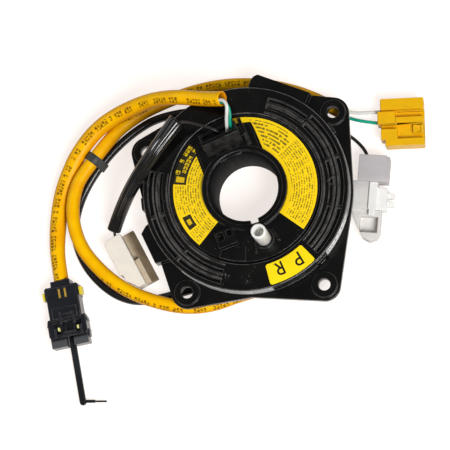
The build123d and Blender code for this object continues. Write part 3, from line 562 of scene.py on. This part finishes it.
class ClockSpringCords(bpy.types.PropertyGroup):
    """Sizes of the sleeves and leads."""

    upper_radius: radius_prop("Upper sleeve radius", "Outside radius of the upper yellow sleeve", 0.0037)
    lower_radius: radius_prop("Lower sleeve radius", "Outside radius of the lower yellow sleeve", 0.0034)
    limp_radius: radius_prop("Limp sleeve radius", "Outside radius of the short black sleeve", 0.0035)
    thin_radius: radius_prop("Thin sleeve radius", "Outside radius of the long black sleeve", 0.00215)
    wire_radius: radius_prop("Wire radius", "Radius of the wires", 0.00085)
    thin_wire_radius: radius_prop("Thin wire radius", "Radius of the upper black wires", 0.0007)


class ClockSpringColours(bpy.types.PropertyGroup):
    """Colours of the finishes."""

    case: colour_prop("Case black", "Moulded case and ring", (0.05, 0.047, 0.044))
    sleeve: colour_prop("Sleeve yellow", "Vinyl of the yellow sleeves", (1.0, 0.765, 0.0))
    label: colour_prop("Label yellow", "Ground of the disc labels", (1.0, 0.84, 0.0))
    connector: colour_prop("Connector yellow", "Yellow connector", (0.93, 0.71, 0.0))
    white: colour_prop("Plug white", "White plugs and pin", (0.95, 0.945, 0.93))
    green: colour_prop("Wire green", "Green wires", (0.05, 0.68, 0.56))


class ClockSpringStudio(bpy.types.PropertyGroup):
    """Camera and light."""

    lens: number_prop("Lens", "Focal length of the camera", 148.68, subtype="DISTANCE_CAMERA")
    key_power: number_prop("Key power", "Power of the main lamp", 16.0, unit="POWER")
    fill_power: number_prop("Fill power", "Power of the opposite lamp", 4.0, unit="POWER")
    sky: number_prop("Sky strength", "Strength of the even light all round", 0.18)


# ---- operators ----
class CLOCKSPRING_OT_stage(bpy.types.Operator):
    """Sets the camera, the lamps and the pale floor"""

    bl_idname = "clockspring.stage"
    bl_label = "Camera, lamps and floor"

    # the camera's place, 0.9 m from the middle of the disc, and its three axes
    CAMERA_AT = Vector((0.130459, -0.183318, 0.896421))
    RIGHT = Vector((0.98772043, 0.01717696, -0.15528459))
    UP = Vector((0.01190881, 0.98276818, 0.18445836))
    BACK = Vector((0.15577719, -0.18404254, 0.97049565))
    LIT = Vector((0, 0, 0.01))  # what the lamps point at

    def execute(self, context):
        studio = context.scene.clockspring_studio
        data = bpy.data.cameras.new("camera")
        data.lens = studio.lens
        data.sensor_width = 36
        camera = bpy.data.objects.new("camera", data)
        camera.matrix_world = (
            Matrix.Translation(self.CAMERA_AT)
            @ Matrix((self.RIGHT, self.UP, self.BACK)).transposed().to_4x4()
        )
        context.scene.collection.objects.link(camera)
        context.scene.camera = camera
        context.scene.view_settings.view_transform = "Standard"
        self.lamps(context, studio)
        self.floor()
        self.world(context, studio)
        return {"FINISHED"}

    def lamps(self, context, studio):
        """Two soft lamps, the stronger on the right and in front."""
        for name, power, size, at in (
            ("key_lamp", studio.key_power, 0.55, (0.54, -0.57, 1.02)),
            ("fill_lamp", studio.fill_power, 0.9, (-0.9, 0.5, 0.8)),
        ):
            lamp = bpy.data.lights.new(name, "AREA")
            lamp.energy = power
            lamp.size = size
            obj = bpy.data.objects.new(name, lamp)
            obj.location = at
            obj.rotation_euler = (self.LIT - Vector(at)).to_track_quat("-Z", "Y").to_euler()
            context.scene.collection.objects.link(obj)

    def floor(self):
        """A wide pale floor: it shows white, and keeps a faint warm shadow."""
        bm = bmesh.new()
        bmesh.ops.create_grid(bm, x_segments=8, y_segments=8, size=6)
        finish = Finish("floor_paper", Roughness=0.9, Specular_IOR_Level=0.0)
        finish.set("Base Color", (0.45, 0.445, 0.44))
        direct, mirrored, passed = (
            finish.start.node("ShaderNodeLightPath", out=f"Is {kind} Ray")
            for kind in ("Camera", "Glossy", "Transmission")
        )
        seen = (direct + mirrored + passed).smooth(0, 1)
        finish.set("Emission Strength", 1.0)
        finish.set("Emission Color", seen.mix((0, 0, 0), (0.79, 0.73, 0.69)))
        floor = piece_from(bm, "floor", finish.material)

    def world(self, context, studio):
        world = bpy.data.worlds.new("studio")
        world.use_nodes = True
        context.scene.world = world
        ground = Shade(world.node_tree)
        rays = ground.node("ShaderNodeLightPath", out="Is Camera Ray")
        background = world.node_tree.nodes["Background"]
        background.inputs["Color"].default_value = (1, 1, 1, 1)
        strength = studio.sky + rays * (1 - studio.sky)
        world.node_tree.links.new(strength.socket, background.inputs["Strength"])


class CLOCKSPRING_OT_sleeves(bpy.types.Operator):
    """Makes the four sleeves along their routes"""

    bl_idname = "clockspring.sleeves"
    bl_label = "Sleeves"

    INK = (0.055, 0.026, 0.004)
    BLACKS = (0.006, 0.0055, 0.0055), (0.012, 0.011, 0.01)

    def yellow_vinyl(self, name, colours, print_line):
        """Yellow vinyl with a row of print, and a painted shade of deeper yellow at its sides."""
        yellow = linear(colours.sleeve)
        deep = (yellow[0] * 0.92, yellow[1] * 0.78, yellow[2])
        return vinyl(name, yellow, deep, 0.32, self.INK, print_line, gloss=0.1, creases=0.5, side=0.8)

    def execute(self, context):
        sizes = context.scene.clockspring_cords
        colours = context.scene.clockspring_colours
        upper_vinyl = self.yellow_vinyl("sleeve_yellow_upper", colours, self.upper_print)
        lower_vinyl = self.yellow_vinyl("sleeve_yellow_lower", colours, self.lower_print)
        limp_vinyl = vinyl("sleeve_black_limp", *self.BLACKS, 0.1, creases=4.0)
        thin_vinyl = vinyl("sleeve_black_thin", *self.BLACKS, 0.25, creases=1.0)
        settled, creased = self.settled, self.creased
        for name, route, radius, mouths, material, around, shape in (
            ("yellow_sleeve_upper", YELLOW_UPPER, sizes.upper_radius, (0.009, 0), upper_vinyl, 32, settled),
            ("black_sleeve_upper", BLACK_UPPER, sizes.limp_radius, (0.009, 0.005), limp_vinyl, 72, creased),
            ("yellow_sleeve_lower", YELLOW_LOWER, sizes.lower_radius, (0, 0.009), lower_vinyl, 32, None),
            ("black_sleeve_lower", BLACK_LOWER, sizes.thin_radius, (0, 0.006), thin_vinyl, 24, None),
        ):
            line = spline_line(route)
            sleeve = tube(name + "_skin", line, radius, material, around, mouths, shape=shape)
            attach(sleeve, "case")
            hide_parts(name)
        return {"FINISHED"}

    @staticmethod
    def upper_print(along):
        """The print winds from the inner side at the mouth to the outer side at the connector."""
        return 0.385 - along * 1.29

    @staticmethod
    def lower_print(along):
        """The print lies outwards at the case, turns under, and comes up again behind the unit."""
        up_again = along.smooth(0.165, 0.195)
        return 0.37 + along.smooth(0.085, 0.12) * (1 - up_again) * 0.3 - up_again * 0.12

    @staticmethod
    def settled(distance, angle):
        """The upper sleeve spreads on the floor, towards the unit, before its connector."""
        rise = min(max((distance - 0.03) / 0.03, 0), 1) * min(max((0.15 - distance) / 0.02, 0), 1)
        return 1 + 0.24 * rise * rise * (3 - 2 * rise) * max(0, -math.cos(angle)) ** 2

    @staticmethod
    def creased(distance, angle):
        """The limp sleeve is pinched along two lines, less so towards its ends, and wider at its
        upper mouth. A line has its depth, angle and width, and how it winds along the sleeve."""
        length = 0.066
        fade = math.sin(math.pi * min(max(distance / length, 0), 1)) ** 0.5
        lines = (0.22, 1.45, 0.17, 2.0), (0.15, 2.3, 0.14, -3.0)
        dip = sum(
            depth * math.exp(-(((angle - at - wind * distance) / width) ** 2))
            for depth, at, width, wind in lines
        )
        flare = 0.26 * math.exp(-max(distance, 0) / 0.012)
        return 1 + flare - dip * (0.25 + 0.75 * fade)


class CLOCKSPRING_OT_leads(bpy.types.Operator):
    """Makes the wires that leave the sleeves"""

    bl_idname = "clockspring.leads"
    bl_label = "Wires"

    def execute(self, context):
        sizes = context.scene.clockspring_cords
        green = linear(context.scene.clockspring_colours.green)
        materials = {
            "white": vinyl("wire_white", (0.8, 0.79, 0.76), (0.68, 0.67, 0.64), 0.35),
            "green": vinyl("wire_green", green, shaded(green, 0.7), 0.35),
            "black": vinyl("wire_black", (0.014, 0.013, 0.013), (0.025, 0.024, 0.023), 0.3),
        }
        wide, thin = sizes.wire_radius, sizes.thin_wire_radius
        for name, route, radius in (
            ("white_lead_upper", WHITE_UPPER, wide),
            ("green_lead_upper", GREEN_UPPER, wide),
            ("black_lead_upper", THIN_UPPER, thin),
            ("black_lead_tail", THIN_TAIL, thin),
            ("white_lead_lower", WHITE_LOWER, wide),
            ("green_lead_lower", GREEN_LOWER, wide),
            ("black_lead_lower", THIN_LOWER, wide),
        ):
            colour = name.split("_")[0]
            line = spline_line(route)
            wire = tube(name + "_wire", line, radius, materials[colour], 16)
            if name in ("white_lead_upper", "green_lead_upper", "black_lead_upper"):
                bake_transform(wire)
            else:
                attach(wire, "case")
            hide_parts(name)
            "wire_" + colour
        return {"FINISHED"}


class CLOCKSPRING_OT_case(bpy.types.Operator):
    """Finishes the fixed half: case, cover ring and outlet"""

    bl_idname = "clockspring.case"
    bl_label = "Case and cover ring"

    PAINTED_SHADE_BELOW = 0.0238  # height under which the ring's pockets get painted shade
    SCUFFS = (-0.0101, -0.0439, 0.0045), (0.0015, -0.0445, 0.003)  # places and radii
    ARROW = (0.0402, 0.0029), (0.0437, 0.0060), (0.0440, -0.0001)
    ARROW_WIDTH, ARROW_FOOT, ARROW_TOP = 0.0006, 0.0249, 0.0254

    def execute(self, context):
        black = linear(context.scene.clockspring_colours.case)
        case = moulded("case_black", black, 0.24, wear_and_highlight=0.6)
        finish_nodes(case, "lower_case", "outlet_cover", round_off=0.0003)
        # the ring's pale ridge edges are mostly painted highlight, with some rubbed wear
        ring = moulded(
            "ring_black", shaded(black, 1.1), 0.2, wear_and_highlight=1.6, scuffs=self.SCUFFS, painted_shade_below=self.PAINTED_SHADE_BELOW
        )
        finish_nodes(ring, "cover_ring", round_off=0.0002)
        size = self.ARROW_WIDTH, self.ARROW_FOOT, self.ARROW_TOP
        sides = [(a, b, *size) for a, b in zip(self.ARROW, self.ARROW[1:] + self.ARROW[:1])]
        mark = bars("ring_arrow", Matrix(), sides, 0.0002, ring)
        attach(mark, "case")
        return {"FINISHED"}


class CLOCKSPRING_OT_rotor(bpy.types.Operator):
    """Finishes the turning half: disc, wire tower, pin and cancelling cams"""

    bl_idname = "clockspring.rotor"
    bl_label = "Disc, tower and pin"

    BORE = 0.0166

    def execute(self, context):
        colours = context.scene.clockspring_colours
        black = linear(colours.case)
        rotor = moulded("rotor_black", black, 0.2, wear_and_highlight=0.5, bore=self.BORE)
        finish_nodes(rotor, "rotor", round_off=0.00025)
        cover = moulded(
            "cover_gloss_black", shaded(black, 0.7), 0.13, grain=0.000008, wear_and_highlight=0.35, gloss=0.22
        )
        finish_nodes(cover, "tower_cover", round_off=0.0004)
        finish_nodes(moulded("lower_rotor_black", shaded(black, 1.3), 0.5, bore=self.BORE), "lower_rotor")
        pin = plain_plastic("pin_white", linear(colours.white), 0.42, 0.15)
        finish_nodes(pin, "locating_pin", round_off=0.0002)
        return {"FINISHED"}


class CLOCKSPRING_OT_ribbon(bpy.types.Operator):
    """Finishes the wound ribbon cable in its chamber"""

    bl_idname = "clockspring.ribbon"
    bl_label = "Ribbon cable"

    def execute(self, context):
        finish = Finish("ribbon_cable", Roughness=0.35)
        place = finish.place()
        pitch = 0.0013
        strips = ((place.axis(2) / pitch) % 1.0).within(0.22, 0.78)
        tone = strips.mix((0.62, 0.6, 0.55), (0.72, 0.33, 0.14))
        finish.set("Base Color", place.noise(120, 3).smooth(0.35, 0.8).mix(tone, (0.4, 0.36, 0.32)))
        finish.bump(strips, 0.00005, 0.5)
        finish_nodes(finish.material, "flat_cable")
        return {"FINISHED"}


class CLOCKSPRING_OT_labels(bpy.types.Operator):
    """Finishes the disc labels, the index label and the seal tapes"""

    bl_idname = "clockspring.labels"
    bl_label = "Labels and tapes"

    INK = (0.05, 0.04, 0.01)
    TAPE_INK = (0.02, 0.02, 0.02)
    SMALL = (0.00124, 0.0005)  # pitch of the rows, and width of a mark
    LARGE = (0.00175, 0.0008)
    BOLD_PITCH = 0.003
    WALL_RADIUS = 0.0505  # of the case wall, with its tapes
    PRINT_Z = 0.0214  # middle height of the print on the tapes

    def execute(self, context):
        yellow = linear(context.scene.clockspring_colours.label)
        finish_nodes(self.right_label(yellow), "label_right")
        finish_nodes(self.left_label(yellow), "label_left")
        finish_nodes(self.index(yellow), "index_label")
        finish_nodes(self.tape("tape_white", (0.92, 0.91, 0.88), -0.33), "seal_tape_right")
        finish_nodes(self.tape("tape_grey", (0.5, 0.5, 0.5), 2.0), "seal_tape_left")
        return {"FINISHED"}

    def polar(self, finish, turn=0.0):
        """Place, distance from the axle, and angle in radians, from turn on."""
        place = finish.place()
        x, y = place.axis(0), place.axis(1)
        radius = finish.start.math("SQRT", x * x + y * y)
        angle = (finish.start.math("ARCTAN2", y, x) - turn) % math.tau + turn
        return place, radius, angle

    def rows(self, radius, angle, pitch, width, faint=0.6):
        """Close rows of small marks on rings round the axle, with ragged edges and a few gaps."""
        row = (radius / pitch).floor()
        across = abs((radius / pitch) % 1.0 - 0.5)
        cell = ((angle * (row + 0.5) * pitch + row * 0.0037) / width).floor()
        pick = radius.vector(cell, row, 1.7).white()
        word = radius.vector((cell / 7.0).floor(), row, 5.2).white()
        tall = 0.13 + pick * 0.2
        marks = (across < tall) * (pick > 0.1) * (faint + (pick > 0.5) * (1 - faint))
        return marks * ((cell % 9.0) > 0.5) * (word > 0.04)

    def paper(self, finish, place, yellow, ink, block=None):
        """Yellow paper with dark ink on it, and yellow marks on its black blocks."""
        strength = 0.68
        tone = place.noise(50, 3).smooth(0.3, 0.8).mix(yellow, shaded(yellow, 0.92))
        if block:
            tone = block.mix(tone, shaded(self.INK, 0.5))
            tone = (ink * strength).mix(tone, block.mix(self.INK, yellow))
        else:
            tone = (ink * strength).mix(tone, self.INK)
        finish.set("Base Color", tone)
        finish.set("Roughness", 0.36 + place.noise(200, 3) * 0.14)
        finish.bump(place.noise(900, 2), 0.00001, 0.5)
        return finish.material

    def right_label(self, yellow):
        """Two fields of rows: small marks below, larger ones above, which narrow to the tower."""
        finish = Finish("label_yellow_right", Roughness=0.42, Specular_IOR_Level=0.35)
        place, radius, angle = self.polar(finish, -math.pi)
        small = self.rows(radius, angle, *self.SMALL)
        small = small * angle.within(-0.57, 0.765) * radius.within(0.0228, 0.0341)
        large = self.rows(radius, angle, *self.LARGE, faint=0.85)
        inner = radius > 0.0233 + (angle - 1.1729) * 0.0305
        large = large * angle.within(0.81, 1.69) * inner * radius.within(0.0228, 0.0341)
        return self.paper(finish, place, yellow, small + large * 1.25)

    def left_label(self, yellow):
        """Rows of small marks, a black field with two bold rows, and a small black block."""
        finish = Finish("label_yellow_left", Roughness=0.42, Specular_IOR_Level=0.35)
        place, radius, angle = self.polar(finish)
        field = angle.within(2.40, 3.075) * radius.within(0.029, 0.0354)
        corner = angle.within(3.58, 3.8) * radius.within(0.0293, 0.0336)
        line = ((radius + 0.0004) / self.BOLD_PITCH).floor()
        across = ((radius + 0.0004) / self.BOLD_PITCH) % 1.0 - 0.5
        along = angle * (line + 0.5) * self.BOLD_PITCH
        bold = dashes(along, across, width=0.0019, height=0.8, gaps=0.0, fill=0.4, row=line)
        bold = bold * angle.within(2.47, 2.93) * radius.within(0.0292, 0.0352)
        bar = angle.within(2.955, 3.04) * abs(radius - 0.0322).smooth(0.0022, 0.0019)
        dot = angle.within(3.645, 3.735) * radius.within(0.0305, 0.0325)
        rows = self.rows(radius, angle, *self.SMALL)
        clear = radius < 0.0342 - angle.within(2.38, 3.1) * 0.0058
        beside = 1 - angle.within(3.55, 3.83) * (radius > 0.0288)
        rows = rows * clear * (radius > 0.0226) * angle.within(2.5, 4.02) * beside
        block = field + corner
        return self.paper(finish, place, yellow, rows + bold + bar + dot, block)

    def index(self, yellow):
        """Rubbed yellow paper with the two letters of the index."""
        finish = Finish("index_yellow", Roughness=0.4, Specular_IOR_Level=0.35)
        place = finish.place()
        yellow = (yellow[0], yellow[1] * 1.12, yellow[2] * 0.3)
        rub = place.noise(600, 4, 0.7).smooth(0.66, 0.78)
        tone = place.noise(70, 3).smooth(0.3, 0.8).mix(yellow, shaded(yellow, 0.88))
        tone = (rub * 0.3).mix(tone, shaded(yellow, 0.5))
        ink = self.letter(place, P_FOOT, P_HEAD) + self.letter(place, R_FOOT, R_HEAD, leg=True)
        tone = ink.smooth(0.0, 1.0).mix(tone, (0.012, 0.006, 0.003))
        finish.set("Base Color", tone)
        finish.bump(place.noise(900, 2), 0.00001, 0.5)
        return finish.material

    def letter(self, place, foot, head, leg=False):
        """A stem with a bowl at its head, and with a leg if asked, drawn from foot to head."""
        stroke = 0.0005
        stem = Vector(head) - Vector(foot)
        up, high = stem.normalized(), stem.length
        local = place.moved((-foot[0], -foot[1], 0))
        u = local.axis(0) * up.y - local.axis(1) * up.x
        v = local.axis(0) * up.x + local.axis(1) * up.y
        bowl = high * 0.26
        u_bowl, v_bowl = u - bowl, v - (high - bowl)
        round_part = abs(u.math("SQRT", u_bowl * u_bowl + v_bowl * v_bowl) - bowl) < stroke
        strokes = (abs(u) < stroke) * v.within(-stroke, high + stroke)
        strokes = strokes + round_part * (u_bowl > 0)
        arms = (abs(v - high) < stroke) + (abs(v - (high - 2 * bowl)) < stroke)
        strokes = strokes + arms * u.within(0, bowl)
        if leg:
            slope = 0.55
            off = abs(u - high * 0.2 - (high * 0.48 - v) * slope) < stroke * 1.15
            strokes = strokes + off * v.within(-stroke, high * 0.48)
        return strokes

    def tape(self, name, colour, change_at):
        """Paper tape with short bold marks, which greys along the wall from some angle on."""
        finish = Finish(name, Roughness=0.5)
        place, _, angle = self.polar(finish, -math.pi)
        far = angle.smooth(change_at, change_at + 0.12)
        ground = far.mix(colour, (0.3, 0.3, 0.3))
        along, across = angle * self.WALL_RADIUS, place.axis(2) - self.PRINT_Z
        ink = dashes(along, across, width=0.0016, height=0.0034, gaps=0.0, fill=0.26)
        ink = ink * (1 - far * 0.6)
        blotch = place.noise(90, 3)
        dirty = blotch.smooth(0.3, 0.8).mix(ground, (0.2, 0.2, 0.2))
        tone = blotch.smooth(0.5, 0.9).mix(ground, dirty)
        finish.set("Base Color", (ink * 0.85).mix(tone, self.TAPE_INK))
        finish.bump(place.noise(700, 3), 0.00002, 0.5)
        return finish.material


class CLOCKSPRING_OT_connectors(bpy.types.Operator):
    """Finishes the connectors and the cord tie"""

    bl_idname = "clockspring.connectors"
    bl_label = "Connectors and tie"

    # the squib connector's plane: its start, the angle that it points at, and that way in x and y
    SQUIB_AT = (-0.0947, -0.0420, 0.0)
    SQUIB_TURN = math.radians(-78.4)
    SQUIB_WAY = (0.201, -0.98)
    SQUIB_BLACK = (0.010, 0.011, 0.016)
    PALER_BLACK = (0.07, 0.075, 0.08)

    def execute(self, context):
        colours = context.scene.clockspring_colours
        self.squib()
        finish_nodes(moulded("tie_black", (0.042, 0.044, 0.04), 0.5), "cord_tie", round_off=0.0002)
        yellow_plug = plain_plastic("plug_yellow", linear(colours.connector), 0.36, 0.1, gloss=0.3)
        finish_nodes(yellow_plug, "yellow_connector", "yellow_connector_lock", round_off=0.0006)
        self.white_plugs(linear(colours.white))
        return {"FINISHED"}

    def squib(self):
        """The squib connector: black, with yellow locks, contacts and a strap."""
        paler_region = (self.lobes, self.PALER_BLACK)
        black = moulded("plug_black", self.SQUIB_BLACK, 0.28, gloss=0.4, wear_and_highlight=0.5, paler_region=paler_region)
        finish_nodes(black, "squib_connector", "squib_cover", round_off=0.0003)
        self.squib_details()
        finish_nodes(moulded("strap_black", (0.012, 0.013, 0.016), 0.35), "squib_strap", round_off=0.0003)
        finish_nodes(plain_plastic("plug_lock", (0.9, 0.72, 0.03), 0.35), "squib_locks", round_off=0.0003)
        metal = Finish("contact_metal", Metallic=0.6, Roughness=0.35)
        metal.set("Base Color", metal.place().noise(300, 3).mix((0.85, 0.55, 0.08), (0.6, 0.36, 0.05)))
        finish_nodes(metal.material, "squib_contacts")

    def white_plugs(self, white):
        """The two white plugs, of which the left one is ivory, and their holders, the left one tan with
        painted shadow.
        """
        white_plug = plain_plastic("plug_white", white, 0.42, 0.15, dirt=0.93)
        finish_nodes(white_plug, "right_plug", round_off=0.0004)
        ivory = (white[0], white[1] * 0.94, white[2] * 0.85)
        ivory_plug = plain_plastic("plug_ivory", ivory, 0.42, 0.15, dirt=0.92)
        finish_nodes(ivory_plug, "left_plug", round_off=0.0004)
        grey = (self.top, (0.47, 0.44, 0.45))
        holder = plain_plastic("holder_white", (0.75, 0.725, 0.69), 0.5, 0.15, gradient=grey, dirt=0.92)
        finish_nodes(holder, "right_plug_holder", round_off=0.0004)
        # the left holder's tan ground and its brown towards the far edge are painted shadow
        shadow_brown = (self.painted_shadow_mask, (0.12, 0.075, 0.03))
        shadow_holder = plain_plastic("holder_painted_shadow", (0.6, 0.49, 0.35), 0.5, 0.1, gradient=shadow_brown)
        finish_nodes(shadow_holder, "left_plug_holder", round_off=0.0004)

    def lobes(self, place):
        """The far end of the squib connector, from a distance along it on."""
        x, y = place.axis(0) - self.SQUIB_AT[0], place.axis(1) - self.SQUIB_AT[1]
        return (x * self.SQUIB_WAY[0] + y * self.SQUIB_WAY[1]).smooth(0.0288, 0.0302)

    def top(self, place):
        """The end of the right holder that lies farther in y, which is greyer."""
        return place.axis(1).smooth(-0.001, 0.009)

    def painted_shadow_mask(self, place):
        """Painted shadow across the lying plate, deepening to its far edge, and not on the tab that stands
        on it.
        """
        across = place.axis(0) * 0.88 + place.axis(1) * 0.47
        return across.smooth(-0.0664, -0.0616) * place.axis(2).smooth(0.0046, 0.0036)

    def squib_details(self):
        """Latch columns, cross bars and wings of the squib connector, its two pale tabs, and the
        bar at the strap's end. A bar is its start, end, width, foot and top."""
        ground = Matrix.Translation(self.SQUIB_AT) @ Matrix.Rotation(self.SQUIB_TURN, 4, "Z")
        column, side = (0.0014, 0.0096, 0.0112), (0.0012, 0.0084, 0.0100)
        wing, tab = (0.0014, 0.0030, 0.0080), (0.0010, 0.0066, 0.0092)
        latch = (
            ((0.0160, -0.0020), (0.0222, -0.0024), *column),
            ((0.0164, 0.0040), (0.0226, 0.0044), *column),
            ((0.0172, -0.0012), (0.0172, 0.0034), 0.0010, 0.0096, 0.0107),
            ((0.0262, -0.0024), (0.0262, 0.0040), 0.0011, 0.0084, 0.0094),
            ((0.0280, -0.0030), (0.0280, 0.0044), 0.0010, 0.0084, 0.0094),
            ((0.0236, -0.0062), (0.0282, -0.0062), *side),
            ((0.0236, 0.0070), (0.0282, 0.0070), *side),
            ((0.0186, -0.0088), (0.0222, -0.0097), *wing),
            ((0.0186, 0.0088), (0.0222, 0.0100), *wing),
            ((0.0262, 0.0096), (0.0300, 0.0094), 0.0016, 0.0024, 0.0070),
        )
        tabs = (
            ((0.0232, -0.0044), (0.0250, -0.0044), *tab),
            ((0.0236, 0.0053), (0.0254, 0.0053), *tab),
        )
        foot = (
            ((0.0604, -0.0008), (0.0617, 0.0060), 0.0015, 0.0008, 0.0022),
            ((0.0615, 0.0048), (0.0629, 0.0118), 0.0009, 0.0010, 0.0019),
        )
        pale = plain_plastic("tab_pale", (0.85, 0.8, 0.3), 0.3)
        latch_black = moulded("latch_black", (0.03, 0.031, 0.04), 0.3, wear_and_highlight=0.8)
        strap = moulded("strap_foot_black", self.SQUIB_BLACK, 0.35)
        for name, strokes, material, slot in (
            ("squib_latch", latch, latch_black, "plug_black"),
            ("squib_tabs", tabs, pale, "plug_lock"),
            ("strap_foot", foot, strap, "plug_black"),
        ):
            piece = bars(name, ground, strokes, 0.00025, material)
            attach(piece, "case")


class CLOCKSPRING_OT_cords(bpy.types.Operator):
    """Reads each sleeve's middle line and width, and does nothing more with them"""

    bl_idname = "clockspring.cords"
    bl_label = "Declare the cords"

    ON_YELLOW_UPPER = (
        "squib_connector", "squib_cover", "squib_locks", "squib_contacts", "squib_strap", "squib_latch",
        "squib_tabs", "strap_foot", "white_lead_upper_wire", "green_lead_upper_wire",
    )
    ON_BLACK_UPPER = ("left_plug", "left_plug_holder", "black_lead_upper_wire", "black_lead_tail_wire")
    ON_YELLOW_LOWER = (
        "yellow_connector", "yellow_connector_lock", "white_lead_lower_wire", "green_lead_lower_wire",
        "cord_tie",
    )
    ON_BLACK_LOWER = ("right_plug", "right_plug_holder", "black_lead_lower_wire")

    def execute(self, context):
        sizes = context.scene.clockspring_cords
        for name, route, radius, stiffness, on_it in (
            ("yellow_sleeve_upper_skin", YELLOW_UPPER, sizes.upper_radius, "medium", self.ON_YELLOW_UPPER),
            ("black_sleeve_upper_skin", BLACK_UPPER, sizes.limp_radius, "limp", self.ON_BLACK_UPPER),
            ("yellow_sleeve_lower_skin", YELLOW_LOWER, sizes.lower_radius, "medium", self.ON_YELLOW_LOWER),
            ("black_sleeve_lower_skin", BLACK_LOWER, sizes.thin_radius, "medium", self.ON_BLACK_LOWER),
        ):
            line = spline_line(route)
            2 * radius
        return {"FINISHED"}


OPERATORS = (
    CLOCKSPRING_OT_stage,
    CLOCKSPRING_OT_sleeves,
    CLOCKSPRING_OT_leads,
    CLOCKSPRING_OT_case,
    CLOCKSPRING_OT_rotor,
    CLOCKSPRING_OT_ribbon,
    CLOCKSPRING_OT_labels,
    CLOCKSPRING_OT_connectors,
    CLOCKSPRING_OT_cords,
)


class CLOCKSPRING_PT_panel(bpy.types.Panel):
    """Lists the parts of the clock spring"""

    bl_label = "Clock Spring"
    bl_idname = "CLOCKSPRING_PT_panel"
    bl_space_type = "VIEW_3D"
    bl_region_type = "UI"
    bl_category = "Clock Spring"

    def draw(self, context):
        for group in GROUPS:
            box = self.layout.box()
            settings = getattr(context.scene, group)
            for key in settings.bl_rna.properties.keys():
                if key not in ("rna_type", "name"):
                    box.prop(settings, key)
        for operator in OPERATORS:
            self.layout.operator(operator.bl_idname)


GROUPS = {
    "clockspring_cords": ClockSpringCords,
    "clockspring_colours": ClockSpringColours,
    "clockspring_studio": ClockSpringStudio,
}


def register():
    for cls in (*GROUPS.values(), *OPERATORS, CLOCKSPRING_PT_panel):
        bpy.utils.register_class(cls)
    for key, group in GROUPS.items():
        setattr(bpy.types.Scene, key, bpy.props.PointerProperty(type=group))


def unregister():
    for key in GROUPS:
        delattr(bpy.types.Scene, key)
    for cls in reversed((*GROUPS.values(), *OPERATORS, CLOCKSPRING_PT_panel)):
        bpy.utils.unregister_class(cls)


def main():
    register()
    for operator in OPERATORS:
        group, name = operator.bl_idname.split(".")
        getattr(getattr(bpy.ops, group), name)()


if __name__ == "__main__":
    main()
